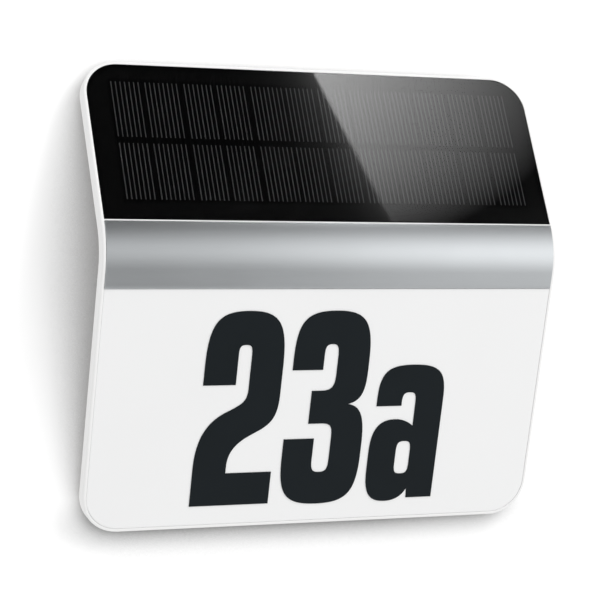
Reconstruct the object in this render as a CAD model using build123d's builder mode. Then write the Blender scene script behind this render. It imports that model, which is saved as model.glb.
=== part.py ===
"""Illuminated house number sign with its own solar panel, for an outside wall.

A white moulded frame, bent at a horizontal fold, carries a solar panel above the fold, a curved
aluminium bar over it and an opal number panel below it. A tub behind the frame holds the battery
and the electronics, and hangs on a steel bracket.

Frame of reference: millimetres, +X to the right seen from the front, -Y towards the viewer, +Z up.
The origin is the centre of the wall bracket's back face, so the wall is the plane Y = 0.
"""

from build123d import *
from math import cos, radians, sin, tan
import os

os.makedirs("parts", exist_ok=True)

# ---------------------------------------------------------------- driving dimensions, overall
width = 242.0                # side to side
fold_height = -30.0          # sharp fold line of the front, from the bracket's centre
fold_stand_off = 47.5        # sharp fold line to the wall
fold_radius = 35.5           # rounding of the fold on the front surface
top_lean = 23.7              # lean of the solar half, degrees from upright
bottom_lean = 16.1           # lean of the number half, degrees from upright
top_run = 99.2               # fold line to the top edge, up the slope
bottom_run = 143.8           # fold line to the bottom edge, down the slope

# ---------------------------------------------------------------- front frame
frame_thickness = 7.0
corner_radius = 19.0
rim_width = 1.7
rim_edge_radius = 1.0
back_edge_chamfer = 1.0
rib_run = 13.0               # fold line to the rib between the bar and the solar glass
rib_width = 1.3
window_up = 8.0              # opening behind the bar, measured from the fold line
window_down = 14.0
window_margin = 4.7          # inside the tub's locating lip
spigot_width = 1.6           # lip on the back that the tub fits over
spigot_height = 3.5
spigot_clearance = 0.3
stiffener_width = 1.6
stiffener_height = 3.0
stiffener_positions = (-78, -30, 30, 78)
stiffener_start = 22.0       # from the fold line
stiffener_end = 62.0

# ---------------------------------------------------------------- solar panel
glass_sink = 0.2             # glass below the rim
glass_gap = 0.15
glass_thickness = 2.5
glass_edge = 0.25
cell_columns = 12
cell_rows = 2
cell_column_gap = 1.3
cell_row_gap = 3.3
cell_thickness = 0.3
cells_side_margin = 12.55    # inside the frame's opening, at each side
cells_lower_margin = 9.8     # above the glass's lower edge
cells_upper_margin = 10.3    # below the glass's upper edge
backing_thickness = 0.8
backing_inset = 1.0
foam_thickness = 0.6
foam_width = 6.0

# ---------------------------------------------------------------- aluminium bar
bar_run_down = 20.7          # fold line to the bar's lower edge, down the slope
bar_thickness = 1.6
bar_proud = 0.4
bar_gap = 0.15
bar_edge_radius = 0.5
bar_tape_thickness = 0.5
bar_tape_gap = 1.0           # bar tape inside the bar's edges

# ---------------------------------------------------------------- number panel and its light
panel_sink = 0.2
panel_gap = 0.2
panel_thickness = 2.4
panel_edge = 0.35
panel_ledge = 4.0            # ledge that the number panel is taped to
panel_tape_thickness = 0.2
guide_thickness = 2.4
guide_gap = 0.25
reflector_thickness = 0.3
led_count = 12
led_length = 3.0
led_width = 1.8
led_height = 0.9
led_gap = 0.3                # lamps to the light guide's edge
led_board_thickness = 1.2
led_board_depth = 3.0
led_board_end_gap = 9.3      # inside the ends of its channel
channel_clearance = 0.2
lead_notch_width = 6.0
solar_hole_x = -66.0         # hole for the solar panel's lead
solar_hole_run = 34.0
solar_hole_radius = 5.0

# ---------------------------------------------------------------- numerals
numeral_height = 100.0
numeral_thickness = 0.3
numeral_gap = 4.6
numeral_base_run = 132.1     # fold line to the foot of the numerals

# ---------------------------------------------------------------- rear tub
wall_gap = 1.0               # tub's back to the wall
tub_half_width = 104.0
tub_top = 72.0               # above the fold line
tub_bottom = 105.0           # below the fold line
tub_wall = 2.4
tub_corner_radius = 14.0
tub_edge_chamfer = 1.5
gasket_thickness = 0.8

# ---------------------------------------------------------------- wall bracket
bracket_width = 110.0
bracket_height = 36.0
bracket_thickness = 2.0
bracket_corner = 6.0
bracket_hole_spacing = 80.0
bracket_hole_radius = 2.5
bracket_slot_length = 9.0
screw_head_room = 3.3        # left for the wall screws' heads in front of the bracket
bracket_room = 1.0           # round the bracket in its recess
hook_spacing = 44.0
hook_width = 18.0
hook_seat = 6.0              # top of the hook's shelf above the bracket's centre
hook_lip = 6.0
hook_clearance = 0.4
hook_window_height = 12.0
hang_clearance = 0.1
lift_travel = 8.0

# ---------------------------------------------------------------- battery and its door
battery_height = -45.0       # cell axis above the bracket's centre
cell_radius = 9.2
cell_length = 65.2
cell_nub_radius = 3.2
cell_nub = 1.4
battery_room = 0.5
battery_wall = 1.8
spring_room = 5.6
plate_room = 1.0
contact_thickness = 0.4
contact_width = 9.0
contact_tail = 3.2
door_length = 86.0
door_height = 26.0
door_thickness = 2.0
door_clearance = 0.15
door_travel = 12.0
tongue_thickness = 0.9
tongue_reach = 1.2
tongue_length = 14.0
tongue_spacing = 46.0
door_grip_count = 5
door_grip_pitch = 2.4
door_grip_width = 1.0
door_grip_depth = 0.5
door_gasket_thickness = 0.9
door_gasket_width = 1.6
door_gasket_margin = 0.5

# ---------------------------------------------------------------- electronics
board_length = 90.0
board_height = 28.0
board_thickness = 1.6
board_centre_x = 25.0
board_centre_z = -88.0
board_stand_off = 12.0       # board's rear face to the wall
clip_height = 12.0           # snap clips that hold the board by its ends
clip_thickness = 2.0
clip_ledge = 2.5
clip_lip = 0.8
clip_lip_thickness = 1.2
clip_clearance = 0.1
switch_length = 13.0
switch_height = 7.0
switch_depth = 6.4
switch_travel = 4.0
knob_length = 3.6
knob_height = 3.0
knob_tip_gap = 1.7           # knob's tip to the wall
knob_base_length = 5.6
knob_base_height = 4.4
knob_base_thickness = 1.0
knob_clearance = 0.15
scoop_length = 18.0
scoop_height = 9.0
scoop_depth = 1.2
chip_length = 5.0
chip_width = 4.0
chip_height = 1.6
chip_pitch = 1.27
chip_leg = 1.1
chip_leg_width = 0.45
chip_leg_thickness = 0.3
coil_width = 7.0
coil_base = 0.8
coil_height = 3.2
capacitor_radius = 3.1
capacitor_height = 5.0
socket_length = 6.0
socket_height = 4.6
socket_depth = 4.8
socket_positions = (-10.0, 20.0, 55.0)
lead_diameter = 1.5
lead_bend = 4.0              # bend radius
lead_tail = 4.0              # straight run out of a contact's foot
lead_entry = 5.0             # straight run into a socket
lead_pair_gap = 2.4          # between the two battery leads
lead_lane_x = -60.0          # solar lead's way down beside the battery
lead_lane_depth = 20.0       # the lane's distance from the wall
lead_drop = 9.5              # below the battery pocket's wall

# ---------------------------------------------------------------- fastening and sealing
screw_radius = 1.45
screw_hole_radius = 1.5
screw_through_radius = 1.7
screw_sides = 8              # flats that stand for the thread
screw_length = 9.5
screw_head_radius = 2.8
screw_head_height = 2.0
recess_length = 3.4          # cross recess in the screw heads
recess_width = 0.9
recess_drop = 1.2
screw_seat = 3.7             # underside of the screw heads to the wall
boss_radius = 4.0            # to the corners of the bosses and posts
boss_sides = 12
boss_meeting = 8.0           # where tub posts and frame bosses meet, from the wall
boss_gap = 0.2
screw_inset = 14.0           # inside the tub's sides, top and bottom
bumper_length = 14.0
bumper_height = 7.0
bumper_clearance = 0.05
bumper_recess = 1.2
bumper_inset = 27.0          # inside the tub's sides
vent_x = -60.0
vent_hole_radius = 1.5
vent_width = 9.0
vent_thickness = 0.3

# ---------------------------------------------------------------- worked out from the above
half_width = width / 2
window_half_width = tub_half_width - tub_wall - spigot_clearance - spigot_width - window_margin
opening_half_width = half_width - rim_width
opening_radius = corner_radius - rim_width
glass_start = rib_run + rib_width
glass_end = top_run - rim_width
panel_end = bottom_run - rim_width
cells_half_width = opening_half_width - cells_side_margin
cell_pitch = (2 * cells_half_width + cell_column_gap) / cell_columns
cell_width = cell_pitch - cell_column_gap
cells_start = glass_start + cells_lower_margin
cells_end = glass_end - cells_upper_margin
cell_row_pitch = (cells_end - cells_start + cell_row_gap) / cell_rows
cell_height = cell_row_pitch - cell_row_gap
solar_ledge_depth = glass_sink + glass_thickness + cell_thickness + backing_thickness + foam_thickness
panel_back = panel_sink + panel_thickness
panel_ledge_depth = panel_back + panel_tape_thickness
guide_back = panel_back + guide_thickness
reflector_back = guide_back + reflector_thickness
bar_back = bar_thickness - bar_proud
bar_seat_depth = bar_back + bar_tape_thickness
guide_start = bar_run_down + panel_gap
led_board_half_width = opening_half_width - panel_ledge - led_board_end_gap
led_pitch = 2 * led_board_half_width / led_count
led_board_run = guide_start - led_gap - led_height - led_board_thickness
recess_depth = bracket_thickness + screw_head_room
recess_half_width = bracket_width / 2 + bracket_room
recess_top = bracket_height / 2 + bracket_room
recess_bottom = -bracket_height / 2 - lift_travel - bracket_room
hook_reach = recess_depth + tub_wall + hook_clearance + bracket_thickness
pocket_half_length = (cell_length + spring_room + plate_room) / 2
pocket_half_height = cell_radius + battery_room
door_back = wall_gap + door_thickness
door_seat = door_back + 0.1
battery_axis = door_seat + door_gasket_thickness + 1.0 + cell_radius
pocket_floor = battery_axis + cell_radius + battery_room
cell_start = -pocket_half_length + spring_room


# ---------------------------------------------------------------- the bent front surface
def on_top(run, depth):
    """(Y, Z) of a point up the solar slope, that deep below the front surface."""
    a = radians(top_lean)
    return (-fold_stand_off + run * sin(a) + depth * cos(a), fold_height + run * cos(a) - depth * sin(a))


def on_bottom(run, depth):
    """(Y, Z) of a point down the number slope, that deep below the front surface."""
    b = radians(bottom_lean)
    return (-fold_stand_off + run * sin(b) + depth * cos(b), fold_height - run * cos(b) + depth * sin(b))


def fold_arc(depth):
    """Start, middle and end (Y, Z) of the arc that rounds the fold at a depth."""
    a, b = radians(top_lean), radians(bottom_lean)
    half = (a + b) / 2
    reach = fold_radius / (2 * cos(half) ** 2)
    centre_y = -fold_stand_off + reach * (cos(a) + cos(b))
    centre_z = fold_height + reach * (sin(b) - sin(a))
    r = fold_radius - depth
    middle = ((cos(a) + cos(b)) / (2 * cos(half)), (sin(b) - sin(a)) / (2 * cos(half)))
    start = (centre_y - r * cos(a), centre_z + r * sin(a))
    end = (centre_y - r * cos(b), centre_z - r * sin(b))
    return start, (centre_y - r * middle[0], centre_z - r * middle[1]), end


def bent_slab(front_depth, back_depth, up, down):
    """Side profile of a slab between two depths that follows the bent front surface."""
    front, back = fold_arc(front_depth), fold_arc(back_depth)
    far_up, far_down = 2 * top_run, 2 * bottom_run
    with BuildSketch() as profile:
        with BuildLine():
            Line(on_top(far_up, front_depth), front[0])
            ThreePointArc(*front)
            Line(front[2], on_bottom(far_down, front_depth))
            Line(on_bottom(far_down, front_depth), on_bottom(far_down, back_depth))
            Line(on_bottom(far_down, back_depth), back[2])
            ThreePointArc(*reversed(back))
            Line(back[0], on_top(far_up, back_depth))
            Line(on_top(far_up, back_depth), on_top(far_up, front_depth))
        make_face()
        with BuildLine():
            Polyline(on_top(up, front_depth - 1), (-2 * fold_stand_off, fold_height),
                     on_bottom(down, front_depth - 1), on_bottom(down, back_depth + 1),
                     on_top(up, back_depth + 1), close=True)
        make_face(mode=Mode.INTERSECT)
    return profile.sketch


def tub_profile(inset, front_depth):
    """Side profile of the space between the frame's back and the wall, taken in all round."""
    a, b = radians(top_lean), radians(bottom_lean)
    top_z, bottom_z, rear = tub_top - inset, tub_bottom - inset, -(wall_gap + inset)
    top_point = on_top((top_z + front_depth * sin(a)) / cos(a), front_depth)
    bottom_point = on_bottom((bottom_z + front_depth * sin(b)) / cos(b), front_depth)
    arc = fold_arc(front_depth)
    with BuildSketch() as profile:
        with BuildLine():
            Line(top_point, arc[0])
            ThreePointArc(*arc)
            Polyline(arc[2], bottom_point, (rear, bottom_point[1]), (rear, top_point[1]), top_point)
        make_face()
    return profile.sketch


def panel_shape(half, near, far, radius):
    """Rectangle between two runs on a slope, with its two far corners rounded."""
    with BuildSketch() as shape:
        with Locations((0, (near + far) / 2)):
            Rectangle(2 * half, abs(far - near))
        far_end = shape.vertices().group_by(Axis.Y)[-1 if far > near else 0]
        fillet(far_end, radius)
    return shape.sketch


def tub_ring(outer_inset, inner_inset, front_depth, back_depth):
    """Closed ring that follows the tub's edge on the bent surface, between two depths."""
    middle_z = fold_height + (tub_top - tub_bottom) / 2
    with BuildPart() as ring:
        with BuildSketch(Plane.XZ.offset(wall_gap)):
            for inset, mode in ((outer_inset, Mode.ADD), (inner_inset, Mode.SUBTRACT)):
                with Locations((0, middle_z)):
                    RectangleRounded(2 * (tub_half_width - inset), tub_top + tub_bottom - 2 * inset,
                                     tub_corner_radius - inset, mode=mode)
        extrude(amount=fold_stand_off)
        with BuildSketch(Plane.YZ):
            add(bent_slab(front_depth, back_depth, top_run, bottom_run))
        extrude(amount=half_width, both=True, mode=Mode.INTERSECT)
    return ring.part


def outline_edges(builder, side):
    """Edges between the sides of a bent slab and its front (-1) or its back (1)."""
    broad = builder.faces().filter_by(lambda face: side * face.normal_at().Y > 0.8)
    narrow = builder.faces().filter_by(lambda face: abs(face.normal_at().Y) < 0.8)
    return broad.edges() & narrow.edges()


def lead(points):
    """Lead along straight runs joined by arcs, closed at both ends."""
    with BuildPart() as tube:
        with BuildLine() as path:
            FilletPolyline(*points, radius=lead_bend)
        with BuildSketch(Plane(path.line @ 0, z_dir=path.line % 0)):
            RegularPolygon(lead_diameter / 2, 6)
        sweep(path=path.line)
    return tube.part


def save(part, name):
    """Label a finished piece and write it."""
    part.label = name
    export_step(part, f"parts/{name}.step")


top_plane = Plane((0, -fold_stand_off, fold_height), x_dir=(1, 0, 0),
                  z_dir=(0, -cos(radians(top_lean)), sin(radians(top_lean))))
bottom_plane = Plane((0, -fold_stand_off, fold_height), x_dir=(1, 0, 0),
                     z_dir=(0, -cos(radians(bottom_lean)), -sin(radians(bottom_lean))))
screw_x = tub_half_width - screw_inset
screw_heights = (fold_height + tub_top - screw_inset, fold_height - tub_bottom + screw_inset)
screw_places = [(x, z) for x in (-screw_x, screw_x) for z in screw_heights]
bumper_x = tub_half_width - bumper_inset
bumper_places = [(x, z) for x in (-bumper_x, bumper_x) for z in screw_heights]


def behind_wall(distance):
    """Upright plane that far from the wall, facing the viewer; its local axes are X and Z."""
    return Plane((0, -distance, 0), x_dir=(1, 0, 0), z_dir=(0, -1, 0))


# ================================================================ front frame
with BuildPart() as front_frame:
    with BuildSketch(Plane.YZ):
        add(bent_slab(0, frame_thickness, top_run, bottom_run))
    extrude(amount=half_width, both=True)
    for plane in (top_plane, bottom_plane):
        fillet(front_frame.edges().filter_by(Axis((0, 0, 0), plane.z_dir)), corner_radius)
    fillet(outline_edges(front_frame, -1), rim_edge_radius)
    chamfer(outline_edges(front_frame, 1), back_edge_chamfer)

    # Lip that locates the tub, stiffening ribs and screw bosses on the back.
    add(tub_ring(tub_wall + spigot_clearance, tub_wall + spigot_clearance + spigot_width,
                 frame_thickness - 1.0, frame_thickness + spigot_height))
    with BuildSketch(top_plane.offset(-(frame_thickness - 1.0))):
        with Locations(*[(x, (stiffener_start + stiffener_end) / 2) for x in stiffener_positions]):
            Rectangle(stiffener_width, stiffener_end - stiffener_start)
    extrude(amount=-(stiffener_height + 1.0))
    for x, z in screw_places:
        drop = z - fold_height
        lean = top_lean if drop > 0 else bottom_lean
        root = fold_stand_off - abs(drop) * tan(radians(lean)) - frame_thickness / 2
        with BuildSketch(behind_wall(boss_meeting + boss_gap)):
            with Locations((x, z)):
                RegularPolygon(boss_radius, boss_sides)
        extrude(amount=root - boss_meeting - boss_gap)

    # Stepped pockets in the front: solar panel, bar, number panel and light guide.
    with BuildSketch(top_plane.offset(1)):
        add(panel_shape(opening_half_width, glass_start, glass_end, opening_radius))
    extrude(amount=-(solar_ledge_depth + 1), mode=Mode.SUBTRACT)
    with BuildSketch(Plane.YZ):
        add(bent_slab(-1, bar_seat_depth, rib_run, bar_run_down))
    extrude(amount=opening_half_width, both=True, mode=Mode.SUBTRACT)
    with BuildSketch(bottom_plane.offset(1)):
        add(panel_shape(opening_half_width, -bar_run_down + 0.01, -panel_end, opening_radius))
    extrude(amount=-(panel_ledge_depth + 1), mode=Mode.SUBTRACT)
    with BuildSketch(bottom_plane.offset(-bar_back)):
        add(panel_shape(opening_half_width - panel_ledge, -(led_board_run - channel_clearance),
                        -(panel_end - panel_ledge), opening_radius - panel_ledge))
    extrude(amount=-(reflector_back - bar_back), mode=Mode.SUBTRACT)

    # Window behind the bar, wiring hole behind the solar panel, notch for the lamps' lead.
    with BuildSketch(behind_wall(fold_stand_off - frame_thickness - 6)):
        with Locations((0, fold_height + (window_up - window_down) / 2)):
            RectangleRounded(2 * window_half_width, window_up + window_down, 3)
    extrude(amount=12, mode=Mode.SUBTRACT)
    with BuildSketch(top_plane.offset(-(frame_thickness + 1))):
        with Locations((solar_hole_x, solar_hole_run)):
            Circle(solar_hole_radius)
    extrude(amount=frame_thickness, mode=Mode.SUBTRACT)
    with BuildSketch(bottom_plane.offset(-bar_seat_depth)):
        with Locations((socket_positions[2], -(led_board_run + window_down) / 2)):
            Rectangle(lead_notch_width, led_board_run - window_down + 4)
    extrude(amount=-(reflector_back - bar_seat_depth), mode=Mode.SUBTRACT)

    # Pilot holes for the tub's screws.
    for x, z in screw_places:
        with BuildSketch(behind_wall(boss_meeting)):
            with Locations((x, z)):
                Circle(screw_hole_radius)
        extrude(amount=screw_seat + screw_length + 0.3 - boss_meeting, mode=Mode.SUBTRACT)
save(front_frame.part, "front_frame")

# ================================================================ solar panel
with BuildPart() as solar_glass:
    with BuildSketch(top_plane.offset(-glass_sink)):
        add(panel_shape(opening_half_width - glass_gap, glass_start + glass_gap,
                        glass_end - glass_gap, opening_radius - glass_gap))
    extrude(amount=-glass_thickness)
    front = solar_glass.faces().sort_by(Axis((0, 0, 0), top_plane.z_dir))[-1]
    chamfer(front.edges(), glass_edge)
save(solar_glass.part, "solar_glass")

cells_depth = glass_sink + glass_thickness
cells_centre = (0, (cells_start + cells_end) / 2)
with BuildPart() as solar_cells:
    with BuildSketch(top_plane.offset(-cells_depth)):
        with Locations(cells_centre):
            with GridLocations(cell_pitch, cell_row_pitch, cell_columns, cell_rows):
                Rectangle(cell_width, cell_height)
    extrude(amount=-cell_thickness)
save(solar_cells.part, "solar_cells")

with BuildPart() as solar_encapsulant:
    with BuildSketch(top_plane.offset(-cells_depth)):
        add(panel_shape(opening_half_width - backing_inset, glass_start + backing_inset,
                        glass_end - backing_inset, opening_radius - backing_inset))
        with Locations(cells_centre):
            with GridLocations(cell_pitch, cell_row_pitch, cell_columns, cell_rows):
                Rectangle(cell_width, cell_height, mode=Mode.SUBTRACT)
    extrude(amount=-cell_thickness)
save(solar_encapsulant.part, "solar_encapsulant")

backing_depth = cells_depth + cell_thickness
with BuildPart() as solar_backing:
    with BuildSketch(top_plane.offset(-backing_depth)):
        add(panel_shape(opening_half_width - backing_inset, glass_start + backing_inset,
                        glass_end - backing_inset, opening_radius - backing_inset))
    extrude(amount=-backing_thickness)
save(solar_backing.part, "solar_backing")

foam_depth = backing_depth + backing_thickness
with BuildPart() as solar_foam_tape:
    with BuildSketch(top_plane.offset(-foam_depth)):
        for inset, mode in ((backing_inset, Mode.ADD), (backing_inset + foam_width, Mode.SUBTRACT)):
            add(panel_shape(opening_half_width - inset, glass_start + inset, glass_end - inset,
                            opening_radius - inset), mode=mode)
    extrude(amount=-foam_thickness)
save(solar_foam_tape.part, "solar_foam_tape")

# ================================================================ aluminium bar
with BuildPart() as accent_bar:
    with BuildSketch(Plane.YZ) as bar_profile:
        add(bent_slab(-bar_proud, bar_back, rib_run - bar_gap, bar_run_down - bar_gap))
        lower_front = bar_profile.vertices().sort_by_distance(on_bottom(bar_run_down, -bar_proud))[0]
        upper_front = bar_profile.vertices().sort_by_distance(on_top(rib_run, -bar_proud))[0]
        fillet([lower_front, upper_front], bar_edge_radius)
    extrude(amount=opening_half_width - bar_gap, both=True)
save(accent_bar.part, "accent_bar")

with BuildPart() as bar_tape:
    with BuildSketch(Plane.YZ):
        add(bent_slab(bar_back, bar_seat_depth, rib_run - bar_gap - bar_tape_gap,
                      led_board_run - channel_clearance - bar_tape_gap))
    extrude(amount=window_half_width, both=True)
    with BuildSketch(behind_wall(fold_stand_off - frame_thickness - 6)):
        with Locations((0, fold_height + (window_up - window_down) / 2)):
            Rectangle(width, window_up + window_down + 0.6)
    extrude(amount=12, mode=Mode.SUBTRACT)
save(bar_tape.part, "bar_tape")

# ================================================================ number panel and its light
with BuildPart() as number_panel:
    with BuildSketch(bottom_plane.offset(-panel_sink)):
        add(panel_shape(opening_half_width - panel_gap, -guide_start, -(panel_end - panel_gap),
                        opening_radius - panel_gap))
    extrude(amount=-panel_thickness)
    front = number_panel.faces().sort_by(Axis((0, 0, 0), bottom_plane.z_dir))[-1]
    chamfer(front.edges(), panel_edge)
save(number_panel.part, "number_panel")

with BuildPart() as panel_tape:
    with BuildSketch(bottom_plane.offset(-panel_back)):
        add(panel_shape(opening_half_width - panel_gap, -guide_start, -(panel_end - panel_gap),
                        opening_radius - panel_gap))
        add(panel_shape(opening_half_width - panel_ledge, -guide_start + 1,
                        -(panel_end - panel_ledge), opening_radius - panel_ledge), mode=Mode.SUBTRACT)
    extrude(amount=-panel_tape_thickness)
save(panel_tape.part, "panel_tape")

guide_inset = panel_ledge + guide_gap
with BuildPart() as light_guide:
    with BuildSketch(bottom_plane.offset(-panel_back)):
        add(panel_shape(opening_half_width - guide_inset, -guide_start, -(panel_end - guide_inset),
                        opening_radius - guide_inset))
    extrude(amount=-guide_thickness)
save(light_guide.part, "light_guide")

with BuildPart() as reflector_sheet:
    with BuildSketch(bottom_plane.offset(-guide_back)):
        add(panel_shape(opening_half_width - guide_inset, -guide_start, -(panel_end - guide_inset),
                        opening_radius - guide_inset))
    extrude(amount=-reflector_thickness)
save(reflector_sheet.part, "reflector_sheet")

led_depth = panel_back + guide_thickness / 2
with BuildPart() as led_board:
    with BuildSketch(bottom_plane.offset(-(led_depth - led_board_depth / 2))):
        with Locations((0, -(led_board_run + led_board_thickness / 2))):
            Rectangle(2 * led_board_half_width, led_board_thickness)
    extrude(amount=-led_board_depth)
save(led_board.part, "led_board")

with BuildPart() as led_lamps:
    with BuildSketch(bottom_plane.offset(-(led_depth - led_width / 2))):
        with Locations((0, -(led_board_run + led_board_thickness + led_height / 2))):
            with GridLocations(led_pitch, 1, led_count, 1):
                Rectangle(led_length, led_height)
    extrude(amount=-led_width)
save(led_lamps.part, "led_lamps")


# ================================================================ stick-on numerals
def squared_arc(start, end, upright_first, squareness=0.79):
    """Quarter turn, fuller than an ellipse, from one stem or shoulder into the next."""
    corner = Vector(start[0], end[1]) if upright_first else Vector(end[0], start[1])
    first = Vector(*start) + (corner - Vector(*start)) * squareness
    second = Vector(*end) + (corner - Vector(*end)) * squareness
    Bezier(start, first, second, end)


def figure_two():
    """Outline of a condensed heavy 2, its foot on Y = 0 and its left side on X = 0."""
    with BuildSketch() as figure:
        with BuildLine():
            Polyline((0.0, 19.4), (0.0, 0.0), (41.7, 0.0), (41.7, 16.8), (17.4, 16.8), (17.4, 20.4))
            Bezier((17.4, 20.4), (17.4, 31.9), (26.9, 35.4), (32.9, 38.8))
            Bezier((32.9, 38.8), (39.4, 42.4), (42.1, 46.4), (42.1, 57.4))
            Line((42.1, 57.4), (42.1, 71.4))
            squared_arc((42.1, 71.4), (21.6, 100.2), True)
            squared_arc((21.6, 100.2), (1.2, 71.4), False)
            Polyline((1.2, 71.4), (1.2, 62.6), (18.1, 62.6), (18.1, 78.4))
            squared_arc((18.1, 78.4), (21.6, 83.0), True)
            squared_arc((21.6, 83.0), (25.1, 77.9), False)
            Line((25.1, 77.9), (25.1, 60.4))
            Bezier((25.1, 60.4), (25.1, 53.9), (22.4, 52.6), (16.4, 49.4))
            Bezier((16.4, 49.4), (7.4, 45.4), (0.0, 38.4), (0.0, 19.4))
        make_face()
    return figure.sketch


def figure_three():
    """Outline of a condensed heavy 3, its left side on X = 0."""
    with BuildSketch() as figure:
        with BuildLine():
            Polyline((0.7, 75.4), (0.7, 69.6), (17.0, 69.6), (17.0, 77.4))
            squared_arc((17.0, 77.4), (20.7, 82.9), True)
            squared_arc((20.7, 82.9), (24.5, 76.4), False)
            Line((24.5, 76.4), (24.5, 67.4))
            squared_arc((24.5, 67.4), (17.2, 58.7), True)
            Polyline((17.2, 58.7), (12.3, 58.7), (12.3, 41.5), (19.2, 41.5))
            squared_arc((19.2, 41.5), (25.6, 34.4), False)
            Line((25.6, 34.4), (25.6, 22.4))
            squared_arc((25.6, 22.4), (21.1, 15.7), True)
            squared_arc((21.1, 15.7), (16.3, 22.4), False)
            Polyline((16.3, 22.4), (16.3, 33.6), (0.0, 33.6), (0.0, 23.4))
            squared_arc((0.0, 23.4), (21.2, -1.2), True)
            squared_arc((21.2, -1.2), (42.7, 24.4), False)
            Line((42.7, 24.4), (42.7, 29.4))
            Bezier((42.7, 29.4), (42.7, 44.4), (40.2, 50.4), (32.6, 51.4))
            Bezier((32.6, 51.4), (39.2, 52.9), (41.6, 56.9), (41.6, 68.4))
            Line((41.6, 68.4), (41.6, 73.4))
            squared_arc((41.6, 73.4), (21.1, 100.1), True)
            squared_arc((21.1, 100.1), (0.7, 75.4), False)
        make_face()
    return figure.sketch


def letter_a():
    """Outline of a condensed heavy lower-case a, its left side on X = 0."""
    with BuildSketch() as figure:
        with BuildLine():
            Polyline((1.4, 53.4), (1.4, 49.8), (15.2, 49.8), (15.2, 51.4))
            squared_arc((15.2, 51.4), (19.1, 56.9), True)
            squared_arc((19.1, 56.9), (22.9, 51.4), False)
            Line((22.9, 51.4), (23.0, 38.9))
            Bezier((23.0, 38.9), (19.6, 41.6), (16.1, 42.6), (12.8, 42.6))
            squared_arc((12.8, 42.6), (0.0, 25.4), False, 0.7)
            Line((0.0, 25.4), (0.0, 16.4))
            squared_arc((0.0, 16.4), (12.1, -1.4), True, 0.75)
            Bezier((12.1, -1.4), (17.6, -1.4), (21.6, 0.9), (23.7, 5.2))
            Polyline((23.7, 5.2), (24.1, 0.0), (38.3, 0.0), (38.3, 53.4))
            squared_arc((38.3, 53.4), (19.6, 71.5), True)
            squared_arc((19.6, 71.5), (1.4, 53.4), False)
        make_face()
        with BuildLine():
            Line((15.2, 18.4), (15.2, 25.4))
            squared_arc((15.2, 25.4), (19.2, 30.8), True)
            squared_arc((19.2, 30.8), (23.2, 25.4), False)
            Line((23.2, 25.4), (23.2, 18.4))
            squared_arc((23.2, 18.4), (19.2, 13.2), True)
            squared_arc((19.2, 13.2), (15.2, 18.4), False)
        make_face(mode=Mode.SUBTRACT)
    return figure.sketch


figures = {"numeral_2": figure_two(), "numeral_3": figure_three(), "letter_a": letter_a()}
numeral_scale = numeral_height / 100  # the outlines are drawn in hundredths of their height
figure_widths = [figure.bounding_box().size.X * numeral_scale for figure in figures.values()]
figure_left = -(sum(figure_widths) + numeral_gap * (len(figures) - 1)) / 2
for (name, figure), figure_width in zip(figures.items(), figure_widths):
    with BuildPart() as numeral:
        with BuildSketch(bottom_plane.offset(-panel_sink)):
            with Locations((figure_left, -numeral_base_run)):
                add(figure.scale(numeral_scale))
        extrude(amount=numeral_thickness)
    save(numeral.part, name)
    figure_left += figure_width + numeral_gap

# ================================================================ rear tub
hook_slot_top = hook_seat + hang_clearance
hook_slot_bottom = hook_seat - bracket_thickness - lift_travel - 0.6
tongue_z = door_height / 2 + tongue_reach
tub_floor = wall_gap + tub_wall
board_front = board_stand_off + board_thickness

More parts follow.
